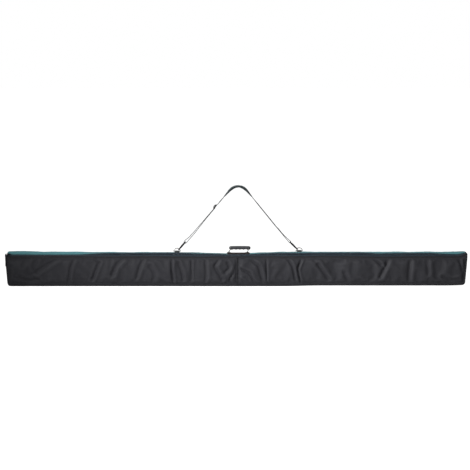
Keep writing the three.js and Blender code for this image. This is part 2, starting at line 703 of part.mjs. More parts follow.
function strapSlider() {
  const [halfLong, halfWide, thick] = [11, 16, 1.4];
  const SLOT = { half: 13, near: 1.7, far: 8.2 };
  const LIFT = 3.2; // the frame rides on the outer side of the webbing
  const shape = new THREE.Shape();
  shape.moveTo(-halfWide, -halfLong);
  shape.lineTo(halfWide, -halfLong);
  shape.lineTo(halfWide, halfLong);
  shape.lineTo(-halfWide, halfLong);
  for (const side of [-1, 1]) {
    const slot = new THREE.Path();
    const [near, far] = [side * SLOT.near, side * SLOT.far];
    slot.moveTo(-SLOT.half, near);
    slot.lineTo(-SLOT.half, far);
    slot.lineTo(SLOT.half, far);
    slot.lineTo(SLOT.half, near);
    shape.holes.push(slot);
  }
  const made = plate(shape, -thick, thick).translate(0, LIFT, SLIDER_S);
  return onHook(LEFT, made);
}

function sliderFold() {
  const FOLD = { half: 5, foot: 2.2, rise: 6.5 };
  const arc = range(9).map((k) => {
    const angle = (Math.PI * k) / 8;
    const s = SLIDER_S + FOLD.half * Math.cos(angle);
    return alongPull(LEFT, s, FOLD.foot + FOLD.rise * Math.sin(angle));
  });
  return webbing(arc, WEB_WIDTH, WEB_THICK);
}

// ---- materials ----
const finish = (color, roughness, metalness = 0) =>
  new THREE.MeshStandardMaterial({ color, roughness, metalness });
const FABRIC = finish(0x2f2e33, 0.85);
const TEAL = finish(0x3f7f83, 0.8);
const PIPING = finish(0x15151a, 0.6);
const ZIP_TAPE = finish(0x1a2029, 0.8);
const COIL = finish(0x101216, 0.45);
const WEB = finish(0x3a4446, 0.75);
const METAL = finish(0x9aa0a2, 0.3, 1);
const DARK_METAL = finish(0x25282a, 0.4, 0.9);
const GRIP = finish(0x4a4c4e, 0.55);
const LEATHER = finish(0x241c1b, 0.6);
const PAD = finish(0x2e4245, 0.8);

const bag = new THREE.Group();

function add(name, geometry, material) {
  const mesh = new THREE.Mesh(geometry, material.clone());
  mesh.name = name;
  bag.add(mesh);
}

const FACE = HALF_DEPTH - 1; // outer face of the front and back panels
for (const [half, side] of [
  ["left", -1],
  ["right", 1],
]) {
  add(`front_panel_${half}`, panelHalf(side, -FACE, -FACE + PADDING), FABRIC);
  add(`back_panel_${half}`, panelHalf(side, FACE - PADDING, FACE), FABRIC);
  add(`${half}_end_gusset`, endGusset(side), FABRIC);
}
add("bottom_gusset", bottomGusset(), FABRIC);
add("front_piping", piping(-HALF_DEPTH + PIPING_R), PIPING);
add("rear_piping", piping(HALF_DEPTH - PIPING_R), PIPING);
const inside = FACE - PADDING - GAP;
add("seam_tape_front", seamTape(-inside, -inside + TAPE_THICK), PIPING);
add("seam_tape_rear", seamTape(inside - TAPE_THICK, inside), PIPING);

add("zip_tape_lower", zipStrip(0, 0.36, 1), ZIP_TAPE);
add("zip_coil_lower", zipStrip(0.4, 0.48, COIL_THICK), COIL);
add("zip_coil_upper", zipStrip(0.52, 0.6, COIL_THICK), COIL);
add("zip_tape_upper", zipStrip(0.64, 0.96, 1), ZIP_TAPE);
add("spine_panel", spine(), TEAL);
add("zip_slider", zipSlider(), DARK_METAL);
add("zip_pull_neck", zipPullNeck(), GRIP);
add("zip_pull_tip", zipPullTip(), GRIP);

add("handle_base", handleBase(), LEATHER);
for (const [side, foot] of Object.entries(RING_FOOT)) {
  add(`handle_bracket_${side}`, ringBracket(foot), METAL);
  add(`handle_ring_${side}`, handleRing(foot), METAL);
}
rivetPlaces.forEach((x, i) => add(`base_rivet_${i + 1}`, rivet(x), METAL));
add("handle_grip", handleGrip(), GRIP);

for (const [side, end] of [
  ["left", LEFT],
  ["right", RIGHT],
]) {
  add(`d_ring_tab_${side}`, deeTab(end), WEB);
  add(`d_ring_${side}`, deeRing(end), METAL);
  add(`swivel_loop_${side}`, swivelLoop(end), DARK_METAL);
  add(`snap_hook_${side}`, hookBody(end), DARK_METAL);
  add(`hook_gate_${side}`, hookGate(end), DARK_METAL);
  add(`gate_pin_${side}`, gatePin(end), METAL);
}
add("strap_webbing", upperWebbing(), WEB);
add("strap_adjuster_loop", adjusterLoop(), WEB);
add("strap_slider", strapSlider(), DARK_METAL);
add("slider_fold", sliderFold(), WEB);
add("shoulder_pad_outer", padHalf(1), PAD);
add("shoulder_pad_inner", padHalf(-1), PAD);

export default bag;
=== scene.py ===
"""Looks of a long padded ski bag: creased shell, zipped teal spine, grip handle and clip-on shoulder strap.

Objects are in metres. Shape constants are in millimetres unless they say otherwise.
"""

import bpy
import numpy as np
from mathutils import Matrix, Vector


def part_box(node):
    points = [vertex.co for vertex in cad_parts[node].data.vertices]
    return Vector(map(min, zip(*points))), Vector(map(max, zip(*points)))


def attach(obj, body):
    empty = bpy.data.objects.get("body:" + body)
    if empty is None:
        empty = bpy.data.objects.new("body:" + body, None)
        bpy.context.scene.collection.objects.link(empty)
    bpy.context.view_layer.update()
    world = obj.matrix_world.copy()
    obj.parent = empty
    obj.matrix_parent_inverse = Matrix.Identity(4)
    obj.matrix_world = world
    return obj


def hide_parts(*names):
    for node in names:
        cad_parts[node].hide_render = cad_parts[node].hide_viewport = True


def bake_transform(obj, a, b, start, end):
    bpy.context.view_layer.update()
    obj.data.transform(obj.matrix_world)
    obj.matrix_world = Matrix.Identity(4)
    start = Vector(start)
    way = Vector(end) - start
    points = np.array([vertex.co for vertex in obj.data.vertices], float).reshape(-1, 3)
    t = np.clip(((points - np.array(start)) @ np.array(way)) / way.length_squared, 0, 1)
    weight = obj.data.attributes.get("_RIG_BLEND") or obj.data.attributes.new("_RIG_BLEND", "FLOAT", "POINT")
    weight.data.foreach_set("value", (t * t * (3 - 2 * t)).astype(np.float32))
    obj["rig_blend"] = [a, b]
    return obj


bl_info = {
    "name": "Ski Bag",
    "version": (1, 0, 0),
    "blender": (4, 5, 0),
    "location": "View3D > Sidebar > Ski Bag",
    "description": "Builds the cloth, zip, handle and strap of a padded ski bag round its frame",
    "category": "Add Mesh",
}

import math

import bmesh
import bpy
import numpy as np
from mathutils import Vector
from mathutils.bvhtree import BVHTree

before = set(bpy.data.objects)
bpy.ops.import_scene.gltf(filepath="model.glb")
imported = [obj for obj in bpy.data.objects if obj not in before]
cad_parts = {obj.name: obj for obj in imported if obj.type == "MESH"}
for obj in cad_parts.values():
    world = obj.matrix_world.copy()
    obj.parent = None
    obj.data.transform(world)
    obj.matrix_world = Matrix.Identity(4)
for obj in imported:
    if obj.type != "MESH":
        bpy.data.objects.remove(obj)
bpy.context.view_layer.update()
SEED = 7
MM = 0.001
GAP = 0.3

# ---- the bag's pattern, in millimetres ----
HALF_LENGTH = 1052
HALF_DEPTH = 40
SHELL_TOP = 137.5
CROWN = 153.5
END_SLANT = 13
LOW_CORNER = 14
HIGH_CORNER = 6
PADDING = 4
PIPING_R = 3
SEAM_X = 5
FACE_Y = 39  # outer face of the front and back panels, before they puff
PUFF_LIMIT = 50  # as far as a panel may stand out from the middle of the bag
PANEL_INSET = 5.2  # the panels' cut edge, tucked in beside the piping
CORNER_LIFT = {-1: 1.5, 1: 11}  # how far each top corner is pulled up
LIFT_FROM = 1002  # where the pull begins, and how long it takes to reach its height
LIFT_RUN = 42
PANEL_REACH = 1030.0  # from a panel's sewn end to the upright seam
EDGE_STEPS = (0, 1.6, 3.2, 4.8, 6.4, 8.2, 10.4, 13.2)  # points close together beside a sewn edge
FOLD_LIMIT = 5.0  # as far as the cloth simulation may move a point
STITCH_IN = 6.4  # the top stitching's distance from a panel's edge
SEAM_RIDGE = (2.2, 1.3)
SEAM_TAPE = (20, 0.7)
FOOT_REACH = 30  # how far an end gusset turns in under the bag
SPINE_THICK = 3
SPINE_REAR = (34, 139)
HINGE_REACH = 1034
HELD_FLAT = ((8, 72), (-269, 42), (286, 42))  # the spine under the handle and the D-rings: centre and reach
END_RUN = 9  # length over which the spine turns down at each end
ZIP_PLAN_R = 12  # plan radius of the zip's corners at the outer edge
ZIP_HALF = HALF_LENGTH - 1
ZIP_REAR_Y = 33
ZIP_LOW = (4, 138)  # inset and height of the zip band's outer edge
ZIP_FLAT = (11.2, 143.6)  # its inner edge where the band lies open to the top
ZIP_STEEP = (6.0, 152.6)  # and where it stands up and hides the spine
TAPE_THICK = 0.9
PULL_R = 2.4
TOOTH_WIDTH = 0.0027  # metres, as the tooth pitch is
TOOTH_WIRE = 0.0016
WEB_WIDTH = 25
WEB_THICK = 1.6
WEB_STEP = 0.85  # length between the webbing's rings of points
RIB_PITCH = 2.55

# How upright the zip band stands along the bag: (x, share), read as a smooth curve.
BAND_STANDS = (
    (-1052, 0), (-700, 0), (-610, 0.72), (-500, 0.95), (-240, 0.95), (-200, 0.62), (-75, 0.42),
    (-45, 0.05), (62, 0.05), (85, 0.35), (130, 0.6), (180, 0.9), (330, 1.0), (590, 1.02),
    (640, 0.62), (705, 0.8), (880, 0.75), (955, 0.25), (1052, 0.2),
)

# Where the padding lifts the spine above its even crown: (x, rise), read as a smooth curve.
CROWN_RISE = (
    (-1052, 5.5), (-967, 5.5), (-877, 3.2), (-695, 2.6), (-600, 1.3), (-330, 0.8), (-200, 0),
    (240, 0), (302, 1.8), (350, 0.3), (950, 0.3), (1030, 2.4), (1052, 2.4),
)

# Creases pressed into the front: a path of (x, z) points, how wide and how deep.
FRONT_CREASES = (
    (((-813, 124), (-858, 97), (-903, 66)), 9, 2.6),
    (((-735, 133), (-752, 80), (-763, 8)), 7, 2.4),
    (((-690, 133), (-650, 128), (-634, 118)), 6, 3.2),
    (((-622, 110), (-634, 78), (-652, 30)), 7, 3.2),
    (((-514, 129), (-545, 95), (-562, 55)), 10, 2.6),
    (((-423, 125), (-440, 80), (-452, 40)), 8, 2.0),
    (((-390, 92), (-372, 55), (-380, 12)), 9, 1.6),
    (((-294, 131), (-292, 75), (-283, 8)), 5.5, 4.2),
    (((-262, 110), (-248, 70), (-240, 28)), 7, 2.4),
    (((-203, 134), (-203, 70), (-203, 6)), 3.5, 2.6),
    (((-140, 118), (-136, 60), (-139, 10)), 7, 2.0),
    (((-82, 116), (-99, 92), (-63, 30)), 7, 2.8),
    (((-40, 110), (-28, 84), (-52, 62)), 7, 2.4),
    (((-12, 60), (-30, 34), (-24, 8)), 6, 2.0),
    (((53, 133), (102, 92), (124, 10)), 8, 3.0),
    (((18, 80), (62, 58), (88, 6)), 7, 3.0),
    (((14, 34), (36, 20), (48, 4)), 5, 2.0),
    (((137, 134), (138, 70), (139, 6)), 4, 2.8),
    (((234, 132), (258, 84), (272, 14)), 7, 2.8),
    (((300, 134), (279, 78), (293, 6)), 5, 4.6),
    (((372, 98), (394, 66), (418, 30)), 9, 2.6),
    (((490, 62), (498, 42), (508, 20)), 9, 2.0),
    (((452, 118), (470, 112), (488, 116)), 7, 1.6),
    (((612, 136), (634, 118), (658, 98)), 7, 3.2),
    (((690, 126), (674, 82), (655, 42)), 9, 2.8),
    (((790, 118), (786, 66), (783, 16)), 10, 2.2),
    (((866, 128), (868, 90), (872, 60)), 10, 1.4),
    (((1012, 130), (1022, 92), (1033, 40)), 7, 2.8),
    (((940, 40), (975, 22), (1010, 26)), 9, 1.6),
    (((-980, 40), (-940, 26), (-900, 30)), 9, 1.4),
)

# ---- the handle ----
DIP = (-10, 130, 6)  # centre, reach and depth of the sag that the handle sits in
BASE_X = (-43, 60)
LAP_FRONT = 31.5  # the handle patch's reach to the front, and to the rear
LAP_REAR = 27
BEND_Y = 27.5  # where it turns down over the spine's front edge
RING_FOOT = (-34, 50)
RING_LEAN = 8
RING_RISE = 17.5
RING_WIRE = 1.6
RING_HALF = 11.5
RING_CORNER = 3.5
BRACKET_THICK = 1.2
RIVET_HEAD = 0.0026  # metres
RIVET_DOME = 0.0013
BASE_LIFT = 2.6
GRIP_ENDS = (-33, 65)
GRIP_HALF = 8.5
FINGER_DIPS = 4
DIPS_FROM = 14  # the dips' distance from each end of the grip
RIVET_FROM_BAR = 6.2

# ---- the strap ----
TAB_LEG = 23.5  # reach of a D-ring tab's legs, and of the sewn box on them
TAB_SEWN = (21, 8)
STRAP_SEWN = (4, 38)
DEE = {"a": 14.75, "b": 14, "wire": 1.75, "lift": 4.3}
DEE_X = (-269.5, 286)
PAD_LEFT = (-38.6, 425)
PAD_PEAK = (8.6, 482.2)
PAD_RIGHT = (54.9, 425)
SEWN_END = (211.8, 231.3)
HOOK_SWELL = 1.6
LOOP_BAR = 43.25
SEWN_LOOP = 26  # from the left bar to where the strap's two ends are sewn together
SLIDER_S = 253
LAYER = WEB_THICK + 0.4
PAD_WIDTH = 48
PAD_HALF_THICK = 6.2
PAD_END_RUN = 30
WEB_TWIST = math.radians(4.5)

X, Y, Z = np.eye(3)


# ---- colours ----
def linear(code):
    """The linear colour of an sRGB hex code, with full alpha."""
    parts = [int(code[i : i + 2], 16) / 255 for i in (1, 3, 5)]
    return tuple(c / 12.92 if c <= 0.04045 else ((c + 0.055) / 1.055) ** 2.4 for c in parts) + (1.0,)


def colour_property(name, description, code):
    return bpy.props.FloatVectorProperty(
        name=name, description=description, subtype="COLOR", size=4, min=0, max=1, default=linear(code)
    )


class SkiBagColours(bpy.types.PropertyGroup):
    cloth: colour_property("Cloth", "Black coated oxford cloth of the shell", "#29292e")
    spine: colour_property("Spine", "Teal oxford cloth of the hinged spine", "#4d8a90")
    zip: colour_property("Zip", "Blue-black woven tape of the zip", "#22303b")
    piping: colour_property("Piping", "Corded piping and edge binding", "#1e1e22")
    webbing: colour_property("Webbing", "Ribbed webbing of the strap and tabs", "#34393a")
    pad: colour_property("Shoulder pad", "Cloth of the shoulder pad", "#2c3c3e")
    grip: colour_property("Grip", "Moulded handle grip and zip pull", "#3c3d40")
    base: colour_property("Handle base", "Leathercloth patch under the handle", "#241b1a")


class SkiBagSizes(bpy.types.PropertyGroup):
    puff: bpy.props.FloatProperty(
        name="Puff", description="How far the padded panels stand out", default=0.0058, min=0, unit="LENGTH"
    )
    crease: bpy.props.FloatProperty(
        name="Crease share", description="Depth of the creases against the pattern's", default=2.6, min=0
    )
    slack: bpy.props.FloatProperty(
        name="Slack", description="Spare cloth that the panels take up in folds",
        default=0.012, min=0, max=0.1
    )
    stitch: bpy.props.FloatProperty(
        name="Stitch", description="Length from one stitch to the next",
        default=0.004, min=0.001, unit="LENGTH"
    )
    thread: bpy.props.FloatProperty(
        name="Thread", description="Thickness of the sewing thread",
        default=0.0007, min=0.0001, unit="LENGTH"
    )
    tooth: bpy.props.FloatProperty(
        name="Tooth pitch", description="Length from one zip tooth to the next",
        default=0.0024, min=0.001, unit="LENGTH"
    )


# ---- numbers and curves ----
def smooth(t):
    """Eases from 0 to 1."""
    t = np.clip(t, 0, 1)
    return t * t * (3 - 2 * t)


def mix(a, b, t):
    return a + (b - a) * t


def unit(v):
    v = np.asarray(v, float)
    return v / np.linalg.norm(v, axis=-1, keepdims=True)


def in_plane(x, z, y=0.0):
    """A point in the bag's upright middle plane, or y off it."""
    return np.array([x, y, z], float)


def chaikin(points, times, closed=False):
    """Cuts a line's corners, each time by a quarter of its sides."""
    p = np.asarray(points, float)
    for _ in range(times):
        a, b = (p, np.roll(p, -1, 0)) if closed else (p[:-1], p[1:])
        cut = np.stack([0.75 * a + 0.25 * b, 0.25 * a + 0.75 * b], 1).reshape(-1, 3)
        p = cut if closed else np.vstack([p[:1], cut, p[-1:]])
    return p


def resample(points, step, closed=False):
    """Points a step apart along a line."""
    p = np.asarray(points, float)
    if closed:
        p = np.vstack([p, p[:1]])
    run = np.concatenate([[0], np.cumsum(np.linalg.norm(np.diff(p, axis=0), axis=1))])
    n = max(2, int(round(run[-1] / step)) + 1)
    at = np.linspace(0, run[-1], n)
    out = np.stack([np.interp(at, run, p[:, k]) for k in range(3)], 1)
    return out[:-1] if closed else out


def blur(field, rows, cols):
    """A box blur of a grid of numbers, its edges repeated."""
    for axis, reach in ((0, rows), (1, cols)):
        if reach < 1:
            continue
        pad = [(0, 0), (0, 0)]
        pad[axis] = (reach, reach)
        wide = np.pad(field, pad, mode="edge")
        total = np.cumsum(wide, axis)
        width = 2 * reach + 1
        front = np.take(total, range(width - 1, total.shape[axis]), axis)
        back = np.take(total, range(0, total.shape[axis] - width), axis)
        back = np.concatenate([np.zeros_like(np.take(total, [0], axis)), back], axis)
        field = (front - back) / width
    return field


def ripples(x, z, seed, count=26, wave=(70, 260), lean=0.35):
    """Soft upright folds: a sum of slanting waves with a fixed seed, about -1 to 1."""
    rng = np.random.default_rng(SEED + seed)
    total = np.zeros(np.broadcast(x, z).shape)
    for _ in range(count):
        length = rng.uniform(*wave)
        angle = rng.normal(0, lean)
        phase = rng.uniform(0, 2 * math.pi)
        bend = 6 * np.sin(z / 31 + rng.uniform(0, 6))
        total += np.sin(2 * math.pi * ((x + bend) * math.cos(angle) + z * math.sin(angle)) / length + phase)
    return total / math.sqrt(count)


def press(x, z, creases):
    """How far creases move the cloth: a valley, with a soft ridge on one side of it."""
    total = np.zeros(np.broadcast(x, z).shape)
    for points, width, depth in creases:
        line = resample([in_plane(px, pz) for px, pz in points], 12)
        line = np.vstack([chaikin(line, 1)])
        best = np.full(total.shape, 1e9)
        side = np.ones(total.shape)
        for a, b in zip(line[:-1], line[1:]):
            d, w = b - a, np.stack([x - a[0], z - a[2]], -1)
            t = np.clip((w[..., 0] * d[0] + w[..., 1] * d[2]) / (d @ d), 0, 1)
            off = np.hypot(w[..., 0] - t * d[0], w[..., 1] - t * d[2])
            near = off < best
            side = np.where(near, np.sign(d[0] * w[..., 1] - d[2] * w[..., 0]), side)
            best = np.minimum(best, off)
        signed = best * side
        total += -depth * np.exp(-((signed / width) ** 2))
        total += 0.55 * depth * np.exp(-(((signed - 1.7 * width) / (1.1 * width)) ** 2))
    return total


# ---- the bag's outline ----
def end_x(z):
    """Reach of the bag's slanting ends at a height."""
    return HALF_LENGTH - END_SLANT * (1 - z / CROWN)


def settle(x, z):
    """Height of a shell point once the bag lies down: its lower edge waves a little, its corners lift."""
    low = 0.3 - 0.3 * np.exp(-(((x + 60) / 230) ** 2)) + 3.3 * smooth((x - 200) / 180)
    low = low + 2.5 * smooth((x - 960) / 90)
    top = 0.6 * np.sin(x / 150.0) + 0.5 * np.sin(x / 67.0 + 1)
    share = np.clip(z / SHELL_TOP, 0, 1)
    lift = CORNER_LIFT[-1] * smooth((-x - 1010) / 35) + CORNER_LIFT[1] * smooth((x - LIFT_FROM) / LIFT_RUN)
    return z + low * (1 - share) + top * share + lift * share**5


def bend_arc(at, toward_a, toward_b, radius, steps=8):
    """Points round a corner, from the side toward a to the side toward b."""
    a, b = unit(toward_a - at), unit(toward_b - at)
    start, end = at + a * radius, at + b * radius
    return [(1 - t) ** 2 * start + 2 * t * (1 - t) * at + t * t * end for t in np.linspace(0, 1, steps)]


def outline(inset, y):
    """The bag's closed outline in a plane of constant y."""
    low, high = inset, SHELL_TOP - inset

    def x(z):
        return end_x(z) - inset

    corners = [
        in_plane(-x(high), high), in_plane(-x(low), low), in_plane(x(low), low), in_plane(x(high), high)
    ]
    radii = [max(r - inset / 2, 2) for r in (HIGH_CORNER, LOW_CORNER, LOW_CORNER, HIGH_CORNER)]
    points = []
    for i, corner in enumerate(corners):
        points += bend_arc(corner, corners[i - 1], corners[(i + 1) % 4], radii[i])
    line = resample(points, 6, closed=True)
    line[:, 1] = y
    line[:, 2] = settle(line[:, 0], line[:, 2])
    return line


def crown(x):
    """Height of the spine's middle, which sags under the handle."""
    centre, reach, depth = DIP
    return CROWN + 1.3 * np.tanh(x / 200) - depth * np.exp(-(((x - centre) / reach) ** 2))


def along_bag(x, table):
    """Reads a table of (x, value) as a smooth curve."""
    fine = np.arange(-1052, 1053, 4.0)
    values = np.interp(fine, *zip(*table))[:, None]
    return np.interp(x, fine, blur(values, 5, 0)[:, 0])


def band_stands(x):
    """How upright the zip band stands along the bag."""
    return along_bag(x, BAND_STANDS)


# ---- meshes ----
def mesh_piece(name, points, faces, uvs=None, materials=(), indices=None):
    """A mesh object from points in millimetres, its faces turned outwards."""
    mesh = bpy.data.meshes.new(name)
    mesh.from_pydata((np.asarray(points, float) * MM).tolist(), [], faces)
    if uvs is not None:
        layer = mesh.uv_layers.new(name="pattern")
        layer.data.foreach_set("uv", (np.asarray(uvs, np.float32) * MM).ravel())
    for m in materials:
        mesh.materials.append(m)
    if indices is not None:
        mesh.polygons.foreach_set("material_index", indices)
    mesh.polygons.foreach_set("use_smooth", [True] * len(mesh.polygons))
    work = bmesh.new()
    work.from_mesh(mesh)
    bmesh.ops.recalc_face_normals(work, faces=work.faces)
    if work.calc_volume(signed=True) < 0:
        bmesh.ops.reverse_faces(work, faces=work.faces)
    work.to_mesh(mesh)
    work.free()
    mesh.update()
    made = bpy.data.objects.new(name, mesh)
    bpy.context.scene.collection.objects.link(made)
    return made


def skin(name, rings, closed=False, materials=()):
    """A closed body through rings of points; the ends are capped unless the rings close on themselves."""
    rings = np.asarray(rings, float)
    n, m = rings.shape[:2]
    spans = n if closed else n - 1
    along = np.concatenate(
        [[0], np.cumsum(np.linalg.norm(rings.mean(1) - np.roll(rings.mean(1), -1, 0), axis=1))]
    )
    ring = rings[n // 2]
    across = np.concatenate([[0], np.cumsum(np.linalg.norm(ring - np.roll(ring, -1, 0), axis=1))])
    faces, uvs = [], []
    for i in range(spans):
        for k in range(m):
            i2, k2 = (i + 1) % n, (k + 1) % m
            faces.append((i * m + k, i * m + k2, i2 * m + k2, i2 * m + k))
            uvs += [
                (along[i], across[k]), (along[i], across[k + 1]),
                (along[i + 1], across[k + 1]), (along[i + 1], across[k]),
            ]
    if not closed:
        for base in (0, (n - 1) * m):
            faces.append(tuple(range(base, base + m)))
            uvs += [(rings[base // m][k][0], rings[base // m][k][1]) for k in range(m)]
    return mesh_piece(name, rings.reshape(-1, 3), faces, uvs, materials)


def slab(name, outer, inner, uv, materials):
    """A padded piece from two grids of points, its outer face and its lining, sewn round the edge."""
    rows, cols = outer.shape[:2]
    count = rows * cols
    points = np.vstack([outer.reshape(-1, 3), inner.reshape(-1, 3)])

    def at(i, k):
        return i * cols + k

    faces, uvs, indices = [], [], []
    for i in range(rows - 1):
        for k in range(cols - 1):
            quad = ((i, k), (i, k + 1), (i + 1, k + 1), (i + 1, k))
            faces.append(tuple(at(a, b) for a, b in quad))
            faces.append(tuple(count + at(a, b) for a, b in reversed(quad)))
            uvs += [uv[a][b] for a, b in quad] + [uv[a][b] for a, b in reversed(quad)]
            indices += [0, 1]
    edge = [(0, k) for k in range(cols)] + [(i, cols - 1) for i in range(1, rows)]
    edge += [(rows - 1, k) for k in range(cols - 2, -1, -1)] + [(i, 0) for i in range(rows - 2, 0, -1)]
    for a, b in zip(edge, edge[1:] + edge[:1]):
        faces.append((at(*a), at(*b), count + at(*b), count + at(*a)))
        uvs += [uv[a[0]][a[1]], uv[b[0]][b[1]], uv[b[0]][b[1]], uv[a[0]][a[1]]]
        indices.append(0)
    return mesh_piece(name, points, faces, uvs, materials, indices)


def sweep(points, profile, up, closed=False, sizes=None):
    """Rings of a profile along a line in a plane: a profile point is (across the plane, in the plane)."""
    p, up = np.asarray(points, float), unit(up)
    if closed:
        tangent = unit(np.roll(p, -1, 0) - np.roll(p, 1, 0))
    else:
        tangent = unit(np.gradient(p, axis=0))
    side = unit(np.cross(tangent, up))
    lift = unit(np.cross(side, tangent))
    shape = np.asarray(profile, float)
    sizes = np.ones(len(p)) if sizes is None else np.asarray(sizes, float)
    return (
        p[:, None]
        + lift[:, None] * (shape[None, :, :1] * sizes[:, None, None])
        + side[:, None] * (shape[None, :, 1:] * sizes[:, None, None])
    )


def round_profile(across, in_plane_r=None, sides=16):
    """A round or oval section."""
    angle = np.linspace(0, 2 * math.pi, sides, endpoint=False)
    return np.stack([across * np.cos(angle), (in_plane_r or across) * np.sin(angle)], 1)


def flat_profile(width, thick, n=7):
    """Webbing's section: flat faces with rounded selvedges."""
    half, r = width / 2, thick / 2
    across = np.linspace(-half + r, half - r, n)
    bulge = [(half - r * 0.3, r * 0.7), (half, 0), (half - r * 0.3, -r * 0.7)]
    top = [(a, r) for a in across]
    low = [(a, -r) for a in across[::-1]]
    return np.array(top + bulge + low + [(-a, -b) for a, b in bulge])


def ready(piece, body, slot, *nodes):
    """Rides a piece on its body and hides the frame nodes that it stands for; the slot is not used."""
    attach(piece, body)
    if nodes:
        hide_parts(*nodes)
    return piece


def relax(sheet, held, slack, frames):
    """Lets a cloth grid with spare length fold between its held points; gives its points in mm."""
    scene = bpy.context.scene
    group = sheet.vertex_groups.new(name="held")
    for i, weight in enumerate(held):
        if weight > 0:
            group.add([i], float(weight), "REPLACE")
    cloth = sheet.modifiers.new("folds", "CLOTH")
    s = cloth.settings
    s.quality = 7
    s.mass = 0.25
    s.air_damping = 3
    s.tension_stiffness, s.compression_stiffness, s.shear_stiffness = 20, 20, 8
    s.bending_stiffness = 1.2
    s.vertex_group_mass = "held"
    s.shrink_min = -slack
    s.effector_weights.gravity = 0
    cloth.collision_settings.use_collision = False
    cloth.point_cache.frame_start, cloth.point_cache.frame_end = 1, frames
    for f in range(1, frames + 1):
        scene.frame_set(f)
    done = sheet.evaluated_get(bpy.context.evaluated_depsgraph_get())
    co = np.empty(len(done.data.vertices) * 3, np.float32)
    done.data.vertices.foreach_get("co", co)
    sheet.modifiers.remove(cloth)
    scene.frame_set(1)
    return co.reshape(-1, 3).astype(float) / MM


# ---- geometry nodes ----
def node(tree, kind, sockets=None, **settings):
    """Adds a node: settings are its own options, and sockets are values or the sockets that feed it."""
    made = tree.nodes.new(kind)
    for key, value in settings.items():
        setattr(made, key, value)
    for key, value in (sockets or {}).items():
        if isinstance(value, bpy.types.NodeSocket):
            tree.links.new(value, made.inputs[key])
        else:
            made.inputs[key].default_value = value
    return made


def output(tree, kind, sockets=None, **settings):
    """Adds a node, for its first output."""
    return node(tree, kind, sockets, **settings).outputs[0]


def new_tree(name, inputs):
    """A tree that takes a path and named inputs; the second result is None where it is already built."""
    if name in bpy.data.node_groups:
        return bpy.data.node_groups[name], None
    tree = bpy.data.node_groups.new(name, "GeometryNodeTree")
    tree.interface.new_socket("Geometry", in_out="OUTPUT", socket_type="NodeSocketGeometry")
    tree.interface.new_socket("Path", in_out="INPUT", socket_type="NodeSocketGeometry")
    for label, kind in inputs:
        tree.interface.new_socket(label, in_out="INPUT", socket_type=kind)
    return tree, node(tree, "NodeGroupInput").outputs


def close_tree(tree, geometry, given):
    """Ends a tree: real geometry, shaded smooth, in its material."""
    solid = node(tree, "GeometryNodeRealizeInstances", {"Geometry": geometry})
    shaded = node(tree, "GeometryNodeSetShadeSmooth", {"Geometry": solid.outputs[0]})
    painted = node(
        tree, "GeometryNodeSetMaterial", {"Geometry": shaded.outputs[0], "Material": given["Material"]}
    )
    node(tree, "NodeGroupOutput", {"Geometry": painted.outputs[0]})
    return tree


def spaced_points(tree, given):
    """Points a pitch apart along a tree's path."""
    line = node(tree, "GeometryNodeMeshToCurve", {"Mesh": given["Path"]})
    sockets = {"Curve": line.outputs[0], "Length": given["Pitch"]}
    return output(tree, "GeometryNodeResampleCurve", sockets, mode="LENGTH")


def stitch_tree():
    """Stitches along a line: short rounded lengths of thread, each a little out of true."""
    tree, given = new_tree(
        "stitch_row",
        [("Pitch", "NodeSocketFloat"), ("Length", "NodeSocketFloat"), ("Thread", "NodeSocketFloat"),
         ("Seed", "NodeSocketInt"), ("Material", "NodeSocketMaterial")],
    )
    if given is None:
        return tree
    spaced = spaced_points(tree, given)
    bead = node(tree, "GeometryNodeMeshUVSphere", {"Segments": 6, "Rings": 4, "Radius": 0.5})
    size = node(
        tree, "ShaderNodeCombineXYZ", {"X": given["Length"], "Y": given["Thread"], "Z": given["Thread"]}
    )
    thread = node(
        tree, "GeometryNodeTransform", {"Geometry": bead.outputs["Mesh"], "Scale": size.outputs[0]}
    )
    tangent = node(tree, "GeometryNodeInputTangent")
    wobble = node(
        tree, "FunctionNodeRandomValue",
        {"Min": (-0.12, -0.12, -0.12), "Max": (0.12, 0.12, 0.12), "Seed": given["Seed"]},
        data_type="FLOAT_VECTOR",
    )
    aim = node(tree, "ShaderNodeVectorMath", {0: tangent.outputs[0], 1: wobble.outputs[0]}, operation="ADD")
    turn = node(tree, "FunctionNodeAlignRotationToVector", {"Vector": aim.outputs[0]}, axis="X")
    sewn = node(
        tree, "GeometryNodeInstanceOnPoints",
        {"Points": spaced, "Instance": thread.outputs[0], "Rotation": turn.outputs[0]},
    )
    return close_tree(tree, sewn.outputs[0], given)


def tooth_tree():
    """A zip's coil: short bars across a line, pointing along the line's stored across direction."""
    tree, given = new_tree(
        "zip_coil",
        [("Pitch", "NodeSocketFloat"), ("Width", "NodeSocketFloat"), ("Wire", "NodeSocketFloat"),
         ("Material", "NodeSocketMaterial")],
    )
    if given is None:
        return tree
    spaced = spaced_points(tree, given)
    bar = node(tree, "GeometryNodeMeshUVSphere", {"Segments": 8, "Rings": 5, "Radius": 0.5})
    size = node(tree, "ShaderNodeCombineXYZ", {"X": given["Wire"], "Y": given["Wire"], "Z": given["Width"]})
    coil = node(tree, "GeometryNodeTransform", {"Geometry": bar.outputs["Mesh"], "Scale": size.outputs[0]})
    across = node(tree, "GeometryNodeInputNamedAttribute", {"Name": "across"}, data_type="FLOAT_VECTOR")
    turn = node(tree, "FunctionNodeAlignRotationToVector", {"Vector": across.outputs[0]}, axis="Z")
    row = node(
        tree, "GeometryNodeInstanceOnPoints",
        {"Points": spaced, "Instance": coil.outputs[0], "Rotation": turn.outputs[0]},
    )
    return close_tree(tree, row.outputs[0], given)


